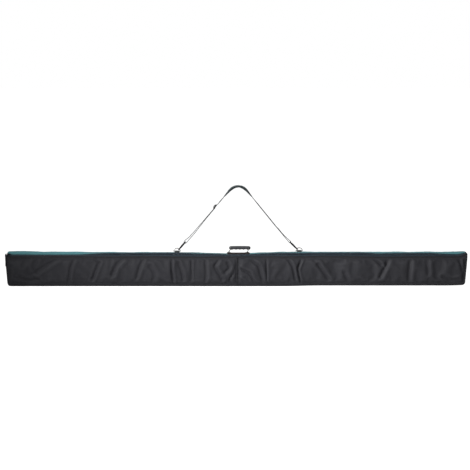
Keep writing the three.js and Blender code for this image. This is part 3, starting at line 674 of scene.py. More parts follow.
def rivet_tree():
    """Domed rivet heads on points."""
    tree, given = new_tree(
        "rivet_heads", [
            ("Head", "NodeSocketFloat"), ("Dome", "NodeSocketFloat"), ("Material", "NodeSocketMaterial")
        ]
    )
    if given is None:
        return tree
    ball = node(tree, "GeometryNodeMeshUVSphere", {"Segments": 24, "Rings": 12, "Radius": 1.0})
    size = node(tree, "ShaderNodeCombineXYZ", {"X": given["Head"], "Y": given["Head"], "Z": given["Dome"]})
    head = node(tree, "GeometryNodeTransform", {"Geometry": ball.outputs["Mesh"], "Scale": size.outputs[0]})
    set_out = node(
        tree, "GeometryNodeInstanceOnPoints", {"Points": given["Path"], "Instance": head.outputs[0]}
    )
    return close_tree(tree, set_out.outputs[0], given)


def grown(name, lines, tree, values, across=None):
    """Runs a tree over lines of points in millimetres and keeps what it makes as one plain mesh."""
    points, edges = [], []
    for line in lines:
        first = len(points)
        points += (np.asarray(line, float) * MM).tolist()
        edges += [(first + i, first + i + 1) for i in range(len(line) - 1)]
    mesh = bpy.data.meshes.new(name + "_path")
    mesh.from_pydata(points, edges, [])
    if across is not None:
        stored = mesh.attributes.new("across", "FLOAT_VECTOR", "POINT")
        stored.data.foreach_set("vector", np.vstack(across).astype(np.float32).ravel())
    path = bpy.data.objects.new(name + "_path", mesh)
    bpy.context.scene.collection.objects.link(path)
    modifier = path.modifiers.new("grow", "NODES")
    modifier.node_group = tree
    for item in tree.interface.items_tree:
        if item.in_out == "INPUT" and item.name in values:
            modifier[item.identifier] = values[item.name]
    path.update_tag()
    depsgraph = bpy.context.evaluated_depsgraph_get()
    depsgraph.update()
    shape = bpy.data.meshes.new_from_object(path.evaluated_get(depsgraph), depsgraph=depsgraph)
    if not shape.polygons:
        raise RuntimeError(f"{name} came out empty")
    for layer in list(shape.attributes):
        if layer.name == "across":
            shape.attributes.remove(layer)
    made = bpy.data.objects.new(name, shape)
    bpy.context.scene.collection.objects.link(made)
    bpy.data.objects.remove(path)
    bpy.data.meshes.remove(mesh)
    return made


def stitches(name, lines, body, material, seed=0, slot="piping"):
    """Sews rows of stitches along lines, as one piece on a body."""
    given = sizes()
    values = {
        "Pitch": given.stitch, "Length": given.stitch * 0.82, "Thread": given.thread, "Seed": SEED + seed,
        "Material": material,
    }
    made = grown(name, [resample(line, 3) for line in lines], stitch_tree(), values)
    return ready(made, body, slot)


# ---- materials ----
def new_material(name):
    """A material, its tree and its shader; the last two are None where it is already built."""
    if name in bpy.data.materials:
        return bpy.data.materials[name], None, None
    made = bpy.data.materials.new(name)
    made.use_nodes = True
    tree = made.node_tree
    return made, tree, tree.nodes["Principled BSDF"]


def shade(shader, tree, colour=None, height=None, bump=0.0001, rough=None, **constants):
    """Feeds a shader: a colour, a bump height in metres, a roughness, and constants on its own sockets."""
    for key, value in constants.items():
        shader.inputs[key.replace("_", " ")].default_value = value
    if isinstance(colour, bpy.types.NodeSocket):
        tree.links.new(colour, shader.inputs["Base Color"])
    elif colour is not None:
        shader.inputs["Base Color"].default_value = colour
    if rough is not None:
        tree.links.new(rough, shader.inputs["Roughness"])
    if height is not None:
        made = node(tree, "ShaderNodeBump", {"Height": height, "Distance": bump, "Strength": 1.0})
        tree.links.new(made.outputs[0], shader.inputs["Normal"])


def waves(tree, place, along, across):
    """Two sine waves over a pattern map, each with its own pitch in metres."""
    parts = node(tree, "ShaderNodeSeparateXYZ", {0: place}).outputs
    made = []
    for part, pitch in zip(parts, (along, across)):
        turn = output(tree, "ShaderNodeMath", {0: part, 1: 2 * math.pi / pitch}, operation="MULTIPLY")
        made.append(output(tree, "ShaderNodeMath", {0: turn}, operation="SINE"))
    return made


def threads(tree, place, pitch):
    """Height of a plain weave whose threads lie a pitch apart, from 0 to 1."""
    warp, weft = waves(tree, place, pitch, pitch)
    crossing = output(tree, "ShaderNodeMath", {0: warp, 1: weft}, operation="MULTIPLY")
    return output(tree, "ShaderNodeMath", {0: crossing, 1: 0.5, 2: 0.5}, operation="MULTIPLY_ADD")


def tinted(tree, base, shade_by, low, high):
    """A base colour made darker and lighter as a value goes from 0 to 1."""
    dark = tuple(c * low for c in base[:3]) + (1.0,)
    light = tuple(min(1.0, c * high) for c in base[:3]) + (1.0,)
    made = node(tree, "ShaderNodeMix", {"Factor": shade_by, 6: dark, 7: light}, data_type="RGBA")
    return made.outputs[2]


def woven(name, base, pitch, roughness, sheen, depth=0.00012, rub_and_highlight=0.0, contrast=0.12):
    """Woven cloth on a piece's own pattern map: threads, slubs, uneven dye, and proud ridges painted paler,
    partly as rubbed wear and partly as a painted highlight.
    """
    made, tree, shader = new_material(name)
    if tree is None:
        return made
    place = node(tree, "ShaderNodeTexCoord").outputs
    weave = threads(tree, place["UV"], pitch)
    slub = output(
        tree, "ShaderNodeTexNoise", {"Vector": place["UV"], "Scale": 900, "Detail": 2, "Roughness": 0.55}
    )
    dye = output(
        tree, "ShaderNodeTexNoise", {"Vector": place["Object"], "Scale": 7, "Detail": 4, "Roughness": 0.55}
    )
    height = output(tree, "ShaderNodeMath", {0: slub, 1: 0.35, 2: weave}, operation="MULTIPLY_ADD")
    patches = output(tree, "ShaderNodeMath", {0: dye, 1: 0.65}, operation="MULTIPLY")
    tone = output(tree, "ShaderNodeMath", {0: weave, 1: 0.35, 2: patches}, operation="MULTIPLY_ADD")
    colour = tinted(tree, base, tone, 1 - contrast, 1 + contrast)
    # Proud ridges are painted paler here: partly rubbed wear, partly a painted highlight that lifts the
    # relief.
    if rub_and_highlight:
        ridge = node(tree, "ShaderNodeAttribute", attribute_name="rubbed_and_lit", attribute_type="GEOMETRY")
        pale = tuple(min(1.0, c * (1 + rub_and_highlight) + 0.004) for c in base[:3]) + (1.0,)
        colour = node(
            tree, "ShaderNodeMix", {"Factor": ridge.outputs["Fac"], 6: colour, 7: pale}, data_type="RGBA"
        ).outputs[2]
    rough = output(tree, "ShaderNodeMath", {0: dye, 1: 0.16, 2: roughness - 0.08}, operation="MULTIPLY_ADD")
    shade(
        shader, tree, colour, height, depth, rough,
        Sheen_Weight=sheen, Sheen_Roughness=0.45, Specular_IOR_Level=0.35,
    )
    return made


def shell_cloth():
    # Coated 600-denier oxford polyester, plain weave: matt black with a faint cool bloom.
    # Its threads lie 0.6 mm apart, drawn at 1.6 mm so that a close view shows them.
    return woven("coated_oxford_black", tuple(looks().cloth), 0.0016, 0.7, 0.1, rub_and_highlight=0.1)


def spine_cloth():
    # The same oxford cloth dyed teal, whose coating gives it a soft light edge.
    return woven("coated_oxford_teal", tuple(looks().spine), 0.0016, 0.66, 0.15, rub_and_highlight=0.12)


def lining_cloth():
    # Polyester taffeta lining: fine, smooth and a little glossier than the shell.
    return woven("lining_taffeta", linear("#2a2c30"), 0.0011, 0.5, 0.05, depth=0.00005)


def tape_cloth():
    # Woven zip tape, a dense blue-black twill with a dry surface; its 0.5 mm cords are drawn at 1.2 mm.
    return woven("zip_tape_twill", tuple(looks().zip), 0.0012, 0.7, 0.1)


def binding_cloth():
    # Corded piping covered in the shell's own coated cloth, rubbed smooth along its top.
    return woven("piping_cord", tuple(looks().piping), 0.0014, 0.55, 0.1, rub_and_highlight=0.2)


def pad_cloth():
    # Brushed polyester over foam: a soft, slightly fuzzy dark teal.
    return woven("brushed_polyester_pad", tuple(looks().pad), 0.0016, 0.8, 0.3)


def webbing_cloth():
    # Polypropylene webbing: ribs across it 2.5 mm apart, and a slight plastic gleam on its yarns.
    made, tree, shader = new_material("polypropylene_webbing")
    if tree is None:
        return made
    place = node(tree, "ShaderNodeTexCoord").outputs
    rib, yarn = waves(tree, place["UV"], 0.0025, 0.0016)
    rib = output(tree, "ShaderNodeMath", {0: rib, 1: 0.5, 2: 0.5}, operation="MULTIPLY_ADD")
    height = output(tree, "ShaderNodeMath", {0: yarn, 1: 0.4, 2: rib}, operation="MULTIPLY_ADD")
    dye = output(
        tree, "ShaderNodeTexNoise",
        {"Vector": place["Object"], "Scale": 40, "Detail": 3.0, "Roughness": 0.55}
    )
    patches = output(tree, "ShaderNodeMath", {0: dye, 1: 0.5}, operation="MULTIPLY")
    tone = output(tree, "ShaderNodeMath", {0: rib, 1: 0.5, 2: patches}, operation="MULTIPLY_ADD")
    colour = tinted(tree, tuple(looks().webbing), tone, 0.72, 1.2)
    shade(
        shader, tree, colour, height, 0.00025,
        Roughness=0.58, Sheen_Weight=0.1, Sheen_Roughness=0.4, Specular_IOR_Level=0.45,
    )
    return made


def sewing_thread():
    # Bonded nylon thread: twisted strands with a waxy gleam.
    made, tree, shader = new_material("bonded_nylon_thread")
    if tree is None:
        return made
    place = node(tree, "ShaderNodeTexCoord").outputs["Object"]
    broad = output(
        tree, "ShaderNodeTexNoise", {"Vector": place, "Scale": 700, "Detail": 1, "Roughness": 0.55}
    )
    strands = output(
        tree, "ShaderNodeTexNoise", {"Vector": place, "Scale": 2500, "Detail": 1, "Roughness": 0.55}
    )
    colour = tinted(tree, linear("#303237"), broad, 0.7, 1.35)
    shade(shader, tree, colour, strands, 0.00008, Roughness=0.45)
    return made


def coil_nylon():
    # Nylon 6 monofilament coil: hard, dark and glossy on its crests.
    made, tree, shader = new_material("nylon_coil")
    if tree is None:
        return made
    place = node(tree, "ShaderNodeTexCoord").outputs["Object"]
    broad = output(
        tree, "ShaderNodeTexNoise", {"Vector": place, "Scale": 300, "Detail": 2, "Roughness": 0.55}
    )
    grain = output(
        tree, "ShaderNodeTexNoise", {"Vector": place, "Scale": 1500, "Detail": 2, "Roughness": 0.55}
    )
    colour = tinted(tree, linear("#171b22"), broad, 0.8, 1.25)
    shade(shader, tree, colour, grain, 0.00003, Roughness=0.32, IOR=1.53)
    return made


def metal(name, code, roughness, grain, uneven):
    """Bare or plated metal with a fine grain and uneven gloss."""
    made, tree, shader = new_material(name)
    if tree is None:
        return made
    place = node(tree, "ShaderNodeTexCoord").outputs["Object"]
    fine = output(
        tree, "ShaderNodeTexNoise", {"Vector": place, "Scale": grain, "Detail": 3, "Roughness": 0.55}
    )
    broad = output(
        tree, "ShaderNodeTexNoise", {"Vector": place, "Scale": 60, "Detail": 3, "Roughness": 0.55}
    )
    rough = output(
        tree, "ShaderNodeMath", {0: broad, 1: uneven, 2: roughness - uneven / 2}, operation="MULTIPLY_ADD"
    )
    colour = tinted(tree, linear(code), broad, 0.86, 1.06)
    shade(shader, tree, colour, fine, 0.00003, rough, Metallic=1.0)
    return made


def nickel():
    # Nickel-plated drawn steel wire: warm grey and bright, with fine drawing marks and dull patches.
    return metal("nickel_plated_wire", "#8f8d87", 0.3, 1800, 0.18)


def gunmetal():
    # Zinc die casting with a gunmetal plating: dark, satin, faintly grained from the mould.
    return metal("gunmetal_zinc_casting", "#2b2c2e", 0.45, 1200, 0.2)


def moulded(name, base, roughness, grain, depth):
    """Moulded plastic with a spark-eroded grain."""
    made, tree, shader = new_material(name)
    if tree is None:
        return made
    place = node(tree, "ShaderNodeTexCoord").outputs["Object"]
    spark = output(
        tree, "ShaderNodeTexNoise", {"Vector": place, "Scale": grain, "Detail": 2, "Roughness": 0.7}
    )
    broad = output(
        tree, "ShaderNodeTexNoise", {"Vector": place, "Scale": 45, "Detail": 3, "Roughness": 0.55}
    )
    colour = tinted(tree, base, broad, 0.85, 1.12)
    rough = output(
        tree, "ShaderNodeMath", {0: broad, 1: 0.15, 2: roughness - 0.07}, operation="MULTIPLY_ADD"
    )
    shade(shader, tree, colour, spark, depth, rough, IOR=1.5)
    return made


def grip_plastic():
    # Moulded thermoplastic elastomer with a spark-eroded mould grain of 0.4 mm: satin and slightly rubbery.
    return moulded("moulded_elastomer_grip", tuple(looks().grip), 0.5, 2200, 0.00012)


def leathercloth():
    # PVC leathercloth with a pebble grain of 1.4 mm, nearly black with a brown cast in the light.
    made, tree, shader = new_material("pvc_leathercloth")
    if tree is None:
        return made
    place = node(tree, "ShaderNodeTexCoord").outputs["Object"]
    pebble = node(
        tree, "ShaderNodeTexVoronoi", {"Vector": place, "Scale": 700, "Smoothness": 0.6},
        feature="SMOOTH_F1",
    ).outputs["Distance"]
    colour = tinted(tree, tuple(looks().base), pebble, 1.25, 0.7)
    height = output(tree, "ShaderNodeMath", {0: pebble, 1: -1.0, 2: 1.0}, operation="MULTIPLY_ADD")
    shade(shader, tree, colour, height, 0.00025, Roughness=0.42, IOR=1.5, Coat_Weight=0.1)
    return made


def looks():
    """The colours set in the panel."""
    return bpy.context.scene.ski_bag_colours


def sizes():
    """The sizes set in the panel."""
    return bpy.context.scene.ski_bag_sizes


def paint_rubbed_and_lit(piece, outer, reach=3):
    """Stores where a panel's face stands proud of its surroundings, as the attribute by which the cloth is
    painted paler there: partly rubbed wear, partly a painted highlight.
    """
    proud = outer - blur(outer, reach, reach)
    rubbed_and_lit = np.clip(proud / 1.2, 0, 1)
    values = np.zeros(len(piece.data.vertices), np.float32)
    values[: rubbed_and_lit.size] = rubbed_and_lit.ravel()
    layer = piece.data.attributes.new("rubbed_and_lit", "FLOAT", "POINT")
    layer.data.foreach_set("value", values)


# ---- cloth shell ----
def sewn_steps(length, count):
    """Steps across a panel: close together at its sewn edges, about 5 mm apart between them."""
    last = EDGE_STEPS[-1]
    inner = list(np.linspace(last, length - last, count)[1:-1])
    return np.array([*EDGE_STEPS, *inner, *(length - e for e in reversed(EDGE_STEPS))])



def panel_grid(side):
    """The flat pattern of half a panel: its x, its z, and the share of the way from end to seam."""
    low = PANEL_INSET
    high = SHELL_TOP - PANEL_INSET
    z = low + sewn_steps(high - low, 22)
    r = LOW_CORNER - PANEL_INSET / 2
    dz = np.clip(z - low, 0, r)
    outer = end_x(z) - PANEL_INSET - r + np.sqrt(np.maximum(r * r - (r - dz) ** 2, 0))
    seam = SEAM_X + side * GAP / 2
    u = sewn_steps(PANEL_REACH, 196) / PANEL_REACH
    x = side * outer[:, None] + (seam - side * outer[:, None]) * u[None, :]
    return x, np.repeat(z[:, None], len(u), 1), u


def build_panel(face, side, cloth, lining):
    """One half of the front or back: puffed, creased, and folded by a cloth simulation."""
    x, z, u = panel_grid(side)
    height = (z - PANEL_INSET) / (SHELL_TOP - 2 * PANEL_INSET)
    from_rows = np.minimum(z - PANEL_INSET, SHELL_TOP - PANEL_INSET - z)
    from_cols = np.minimum(u, 1 - u)[None, :] * PANEL_REACH + 0 * z
    edge = np.minimum(from_rows, from_cols)
    free = smooth((edge - 5) / 22)
    creases = FRONT_CREASES
    if face > 0:
        # The back creases much as the front does, but elsewhere, and more softly.
        creases = [
            ([(-px * 0.94 + 31, pz) for px, pz in points], wide * 1.15, deep * 0.9)
            for points, wide, deep in FRONT_CREASES[::-1]
        ]
    puff = sizes().puff / MM
    pillow = puff * (1 - np.abs(2 * height - 0.94) ** 2.6) * smooth(edge / 20)
    roll = 0.8 * smooth(edge / 4.5)
    top_stitch = -0.9 * np.exp(-(((edge - STITCH_IN) / 1.7) ** 2))
    folds = 1.7 * ripples(x, z, 3 + face) + 0.4 * ripples(x, z, 11 + face, wave=(30, 80), lean=0.6)
    pressed = press(x, z, creases) * sizes().crease
    proud = pillow + roll + top_stitch + free * (folds + pressed)
    y = face * (FACE_Y - 1.2 + proud)
    rows, cols = x.shape
    flat = np.stack([x, y, settle(x, z)], -1)
    faces = [
        (i * cols + k, i * cols + k + 1, (i + 1) * cols + k + 1, (i + 1) * cols + k)
        for i in range(rows - 1) for k in range(cols - 1)
    ]
    sheet = mesh_piece("loose_sheet", flat.reshape(-1, 3), faces)
    held = np.where(edge < 10, 1.0, 0.0).ravel()
    moved = relax(sheet, held, sizes().slack, 16).reshape(rows, cols, 3)
    shift = np.clip(moved - flat, -FOLD_LIMIT, FOLD_LIMIT)
    bpy.data.objects.remove(sheet)
    flat = flat + shift
    flat[..., 1] = face * np.clip(face * flat[..., 1], FACE_Y - 4, PUFF_LIMIT)
    inner = flat.copy()
    inner[..., 1] = face * (FACE_Y - PADDING - 0.4) + 0.15 * (blur(flat[..., 1], 2, 4) - face * FACE_Y)
    uv = np.stack([x, z], -1)
    name = f"{'front' if face < 0 else 'back'}_cloth_{'left' if side < 0 else 'right'}"
    made = slab(name, flat, inner, uv, [cloth, lining])
    paint_rubbed_and_lit(made, face * flat[..., 1])
    return made, flat


class SKIBAG_OT_shell_panels(bpy.types.Operator):
    """Builds the front and back cloth, in halves joined by an upright seam, with their stitching"""

    bl_idname = "ski_bag.shell_panels"
    bl_label = "Shell Panels"

    def execute(self, context):
        cloth, lining, thread = shell_cloth(), lining_cloth(), sewing_thread()
        for face, place in ((-1, "front"), (1, "back")):
            rows = []
            for side, half in ((-1, "left"), (1, "right")):
                piece, flat = build_panel(face, side, cloth, lining)
                ready(piece, "bag", "pack_cloth", f"{place}_panel_{half}")
                rows += [flat[4, 3:], flat[-5, 3:], flat[4:-4, 4], flat[4:-4, -4]]
            lifted = [line + np.array([0, face * 0.25, 0]) for line in rows]
            stitches(f"{place}_top_stitching", lifted, "bag", thread, 1 + face, "pack_cloth")
            self.seam(place, face)
        return {"FINISHED"}

    def seam(self, place, face):
        """The felled ridge that covers the upright seam."""
        z = np.linspace(PANEL_INSET - 0.5, SHELL_TOP - PANEL_INSET + 0.5, 60)
        y = face * (FACE_Y - 0.4 + 0.25 * np.sin(z / 9))
        line = np.stack([np.full_like(z, SEAM_X), y, settle(SEAM_X, z)], 1)
        profile = round_profile(*SEAM_RIDGE, 12)[:, ::-1]
        ridge = skin(f"{place}_centre_seam", sweep(line, profile, X), materials=[binding_cloth()])
        ready(ridge, "bag", "piping")
        line[:, 1] = face * (FACE_Y - PADDING - 1.6)
        profile = flat_profile(*SEAM_TAPE)[:, ::-1]
        strip = skin(f"{place}_seam_tape", sweep(line, profile, Y), materials=[binding_cloth()])
        ready(strip, "bag", "piping", "seam_tape_front" if face < 0 else "seam_tape_rear")


class SKIBAG_OT_gussets(bpy.types.Operator):
    """Builds the two end gussets, which turn in under the bag, and the bottom gusset between them"""

    bl_idname = "ski_bag.gussets"
    bl_label = "Gussets"

    def execute(self, context):
        cloth, lining = shell_cloth(), lining_cloth()
        half = HALF_DEPTH - 2 * PIPING_R + 0.6
        across = np.linspace(-half, half, 19)
        pillow = 1 - np.abs(across / half) ** 3
        for side, name in ((-1, "left"), (1, "right")):
            top = in_plane(end_x(SHELL_TOP - 1) - 0.6, SHELL_TOP - 1)
            corner, reach = in_plane(end_x(0) - 0.6, 0.5), in_plane(end_x(0) - FOOT_REACH, 0.5)
            path = resample([top] + bend_arc(corner, top, reach, LOW_CORNER) + [reach], 4)
            tangent = unit(np.gradient(path, axis=0))
            out = np.stack([-tangent[:, 2], 0 * tangent[:, 0], tangent[:, 0]], 1)
            s = np.linspace(0, 1, len(path))[:, None]
            bulge = (1.6 * np.sin(math.pi * np.clip(s * 1.15, 0, 1)) ** 0.7) * pillow[None, :]
            bulge = bulge + 0.5 * ripples(across[None, :] * 3, path[:, 2:3] * 2, 21 + side) * smooth(bulge)
            dent = np.exp(-((path[:, 2:3] - 78) / 7.0) ** 2) * smooth((across + 22)[None, :] / 30)
            bulge = bulge - 1.3 * dent
            outer = path[:, None, :] + out[:, None, :] * bulge[..., None]
            inner = path[:, None, :] - out[:, None, :] * PADDING + 0 * bulge[..., None]
            for grid in (outer, inner):
                grid[..., 1] = across[None, :]
                grid[..., 2] = settle(grid[..., 0] * side, grid[..., 2])
                grid[..., 0] *= side
            outer[..., 2] = np.maximum(outer[..., 2], 0.05)
            uv = np.stack([across[None, :] + 0 * path[:, :1], path[:, 2:3] + 0 * across[None, :]], -1)
            made = slab(f"{name}_end_cloth", outer, inner, uv, [cloth, lining])
            paint_rubbed_and_lit(made, bulge)
            ready(made, "bag", "pack_cloth", f"{name}_end_gusset")
        self.bottom(cloth, lining, across, half)
        return {"FINISHED"}

    def bottom(self, cloth, lining, across, half):
        end = end_x(0) - FOOT_REACH - GAP
        x = np.linspace(-end, end, 260)[:, None] + 0 * across[None, :]
        y = across[None, :] + 0 * x
        sag = 0.35 * ripples(x, y * 2, 31) * (1 - np.abs(y / half) ** 3)
        z = np.maximum(settle(x, 0 * x) + 0.5 + sag, 0.05)
        outer, inner = np.stack([x, y, z], -1), np.stack([x, y, z + PADDING], -1)
        made = slab("bottom_cloth", outer, inner, np.stack([x, y], -1), [cloth, lining])
        ready(made, "bag", "pack_cloth", "bottom_gusset")


class SKIBAG_OT_piping(bpy.types.Operator):
    """Builds the corded piping round the front and the back"""

    bl_idname = "ski_bag.piping"
    bl_label = "Piping"

    def execute(self, context):
        for sign, name in ((-1, "front"), (1, "rear")):
            line = outline(PIPING_R, sign * (HALF_DEPTH - PIPING_R))
            wave = ripples(line[:, 0] * 2, line[:, 2], 41 + sign)
            line[:, 1] += 0.35 * wave
            profile = round_profile(PIPING_R - 0.25, PIPING_R - 0.1, 14)
            rings = sweep(line, profile, Y, closed=True, sizes=1 + 0.03 * wave)
            rings[..., 2] = np.maximum(rings[..., 2], 0.02)
            made = skin(f"{name}_piping_cord", rings, closed=True, materials=[binding_cloth()])
            ready(made, "bag", "piping", f"{name}_piping")
        return {"FINISHED"}


# ---- zip ----
def zip_path():
    """Stations round the zip: a plan centre, the way out, and how upright the band stands there."""
    r = ZIP_PLAN_R
    centre, out = [], []
    ys = np.linspace(ZIP_REAR_Y, -HALF_DEPTH + r, 12)[:-1]
    for y in ys:
        centre.append((-ZIP_HALF + r, y))
        out.append((-1, 0))
    for a in np.linspace(math.pi, 1.5 * math.pi, 9):
        centre.append((-ZIP_HALF + r, -HALF_DEPTH + r))
        out.append((math.cos(a), math.sin(a)))
    for x in np.arange(-ZIP_HALF + r + 6, ZIP_HALF - r - 3, 6.0):
        centre.append((x, -HALF_DEPTH + r))
        out.append((0, -1))
    for a in np.linspace(1.5 * math.pi, 2 * math.pi, 9):
        centre.append((ZIP_HALF - r, -HALF_DEPTH + r))
        out.append((math.cos(a), math.sin(a)))
    for y in ys[::-1]:
        centre.append((ZIP_HALF - r, y))
        out.append((1, 0))
    centre, out = np.array(centre), np.array(out)
    return centre, out, band_stands(centre[:, 0])


def band_point(t, lift=0.0):
    """The zip band's line at a share t from its outer to its inner edge, raised off it by lift."""
    centre, out, stand = zip_path()
    inset = mix(ZIP_LOW[0], mix(ZIP_FLAT[0], ZIP_STEEP[0], stand), t)
    top = mix(ZIP_FLAT[1], ZIP_STEEP[1], stand)
    plan = centre + out * (ZIP_PLAN_R - inset)[:, None]
    rise = CORNER_LIFT[1] * smooth((plan[:, 0] - LIFT_FROM) / LIFT_RUN)
    wave = 0.5 * np.sin(plan[:, 0] / 61) * np.abs(out[:, 1])
    z = mix(ZIP_LOW[1], top, t) + rise * (1 - 0.25 * t) + wave
    slope = unit(np.stack([mix(ZIP_FLAT[0], ZIP_STEEP[0], stand) - ZIP_LOW[0], top - ZIP_LOW[1]], 1))
    line = np.column_stack([plan, z])
    normal = np.column_stack([out * slope[:, 1:2], slope[:, 0]])
    return line + normal * lift


def tape(name, start, end):
    """A woven tape along the zip, from one share across it to another."""
    shares = np.linspace(start, end, 5)
    top = [band_point(t, TAPE_THICK) for t in shares]
    low = [band_point(t) for t in shares[::-1]]
    return skin(name, np.stack(top + low, 1), materials=[tape_cloth()])


class SKIBAG_OT_zip(bpy.types.Operator):
    """Builds the zip round the front and both ends: two tapes and the coil's two rows of teeth"""

    bl_idname = "ski_bag.zip"
    bl_label = "Zip"

    def execute(self, context):
        thread, nylon = sewing_thread(), coil_nylon()
        across = unit(band_point(1.0) - band_point(0.0))
        for body, name, tape_span, share, shift in (
            ("bag", "lower", (-0.2, 0.42), 0.45, 0.0),
            ("spine", "upper", (0.58, 1.05), 0.55, 0.5),
        ):
            ready(tape(f"zip_tape_{name}_woven", *tape_span), body, "zip_tape", f"zip_tape_{name}")
            line = band_point(share, TAPE_THICK * 0.9)
            pitch = sizes().tooth
            start = line[0] + unit(line[1] - line[0]) * shift * pitch / MM
            line = np.vstack([start, line[1:]])
            teeth = grown(
                f"zip_teeth_{name}", [line], tooth_tree(),
                {"Pitch": pitch, "Width": TOOTH_WIDTH, "Wire": TOOTH_WIRE, "Material": nylon}, [across],
            )
            ready(teeth, body, "zip_coil", f"zip_coil_{name}")
            row = band_point(0.08 if body == "bag" else 0.93, TAPE_THICK + 0.15)
            stitches(f"zip_stitching_{name}", [row[3:-3]], body, thread, 5, "zip_tape")
        return {"FINISHED"}


# ---- spine ----
def spine_height(x, y):
    """The spine's outer face: a crown between the zip band and the rear seam."""
    stand = band_stands(x)
    front_y = -HALF_DEPTH + mix(ZIP_FLAT[0], ZIP_STEEP[0], stand)
    front_z = mix(ZIP_FLAT[1], ZIP_STEEP[1], stand) + 0.4
    top = crown(x) + along_bag(x, CROWN_RISE)
    front = top - (top - front_z) * np.clip(y / front_y, 0, 1.2) ** 2.0
    rear = top - (top - SPINE_REAR[1]) * np.clip(y / SPINE_REAR[0], 0, 1.2) ** 2.0
    return np.where(y < 0, front, rear), front_y


class SKIBAG_OT_spine(bpy.types.Operator):
    """Builds the teal spine, the strip that hinges it to the back, and their stitching"""

    bl_idname = "ski_bag.spine"
    bl_label = "Spine"

    def execute(self, context):
        cloth, lining, thread = spine_cloth(), lining_cloth(), sewing_thread()
        half = ZIP_HALF - ZIP_FLAT[0] - 0.6
        tip = np.array([0, 0.8, 2, 3.4, 5, 7])
        xs = np.concatenate(
            [tip - half, np.arange(-half + END_RUN, half - END_RUN + 1, 5.5), half - tip[::-1]]
        )
        _, front_y = spine_height(xs, 0 * xs)
        t = np.array([0, 0.025, 0.06, 0.1, *np.linspace(0.15, 0.85, 17), 0.9, 0.94, 0.975, 1])
        y = mix(front_y[:, None] + 0.2, SPINE_REAR[0], t[None, :])
        x = np.repeat(xs[:, None], len(t), 1)
        z, _ = spine_height(x, y)
        from_end = half - np.abs(x)
        x = x + np.sign(x) * 5.4 * np.sin(math.pi * np.clip(from_end / END_RUN, 0, 1))
        hardware = np.ones_like(x)
        for centre, reach in HELD_FLAT:
            hardware *= smooth((np.abs(x - centre) - reach) / 30)
        soft = np.minimum(t, 1 - t)[None, :] * 60
        free = smooth(soft / 14) * hardware
        folds = 0.5 * ripples(x, y * 2, 51, wave=(50, 200))
        folds = folds + 0.22 * ripples(x, y * 2, 52, wave=(16, 50), lean=0.9)
        z = z + free * folds - 0.5 * np.exp(-((soft - 4.2) / 1.4) ** 2)
        fall = np.sin(math.pi / 2 * np.clip(from_end / END_RUN, 0, 1))
        end_z = np.where(x < 0, ZIP_FLAT[1] + 1.6, ZIP_FLAT[1] + 1 + 0.75 * CORNER_LIFT[1])
        z = mix(np.minimum(end_z, z + 5), z, fall)
        outer = np.stack([x, y, z], -1)
        inner = np.stack([x, y, z - SPINE_THICK], -1)
        made = slab("spine_cloth", outer, inner, np.stack([x, y], -1), [cloth, lining])
        paint_rubbed_and_lit(made, z)
        ready(made, "spine", "teal_cloth", "spine_panel")
        rows = [outer[2:-2, 2] + Z * 0.25, outer[2:-2, -4] + Z * 0.25]
        stitches("spine_stitching", rows, "spine", thread, 9, "teal_cloth")
        self.hinge_strip(binding_cloth())
        return {"FINISHED"}

    def hinge_strip(self, cloth):
        """The cloth that bends where the spine is sewn to the back."""
        xs = np.arange(-HINGE_REACH, HINGE_REACH + 1, 8.0)
        section = [(36.4, 134.0), (36.6, 136.4), (35.8, 138.5), (34.0, 140.2), (31.6, 141.6)]
        rings = []
        for x in xs:
            lift = float(settle(x, SHELL_TOP)) - SHELL_TOP
            ring = [(x, y, z + lift * (1 - i / 4)) for i, (y, z) in enumerate(section)]
            ring += [(x, y - 0.8, z - 0.9) for _, y, z in ring[::-1]]
            rings.append(ring)
        made = skin("rear_hinge_strip", rings, materials=[cloth])
        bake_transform(made, "bag", "spine", start=(0, 0.0366, 0.1362), end=(0, 0.0318, 0.1414))


# ---- softened castings ----
def softened(node_name, name, material, body, slot, width=0.35, segments=2, swell=None):
    """A copy of a frame node with its edges rounded over; swell thickens a hook, least at its bowl."""
    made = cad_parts[node_name].copy()
    made.data = made.data.copy()
    for key in list(made.keys()):
        del made[key]
    made.parent = None
    made.name = name
    bpy.context.scene.collection.objects.link(made)
    work = bmesh.new()
    work.from_mesh(made.data)
    bmesh.ops.remove_doubles(work, verts=work.verts, dist=0.00002)
    bmesh.ops.dissolve_limit(work, angle_limit=math.radians(1.0), verts=work.verts, edges=work.edges)
    if swell:
        (_, hook, pull), times = swell
        at, normal, up = Vector(hook * MM), Vector(np.cross(pull, Y)), Vector(pull)
        for v in work.verts:
            share = 0.25 + 0.75 * float(smooth(((v.co - at).dot(up) / MM - 3) / 12))
            v.co += normal * ((v.co - at).dot(normal) * (times - 1) * share)
    sharp = [e for e in work.edges if len(e.link_faces) == 2 and e.calc_face_angle(0) > math.radians(35)]
    bmesh.ops.bevel(
        work, geom=sharp, offset=width * MM, segments=segments, profile=0.5, affect="EDGES",
        clamp_overlap=True,
    )
    bmesh.ops.triangulate(work, faces=[f for f in work.faces if len(f.verts) > 4])
    for f in work.faces:
        f.smooth = True
    work.to_mesh(made.data)
    work.free()
    made.data.materials.clear()
    made.data.materials.append(material)
    made.data.set_sharp_from_angle(angle=math.radians(40))
    return ready(made, body, slot, node_name)


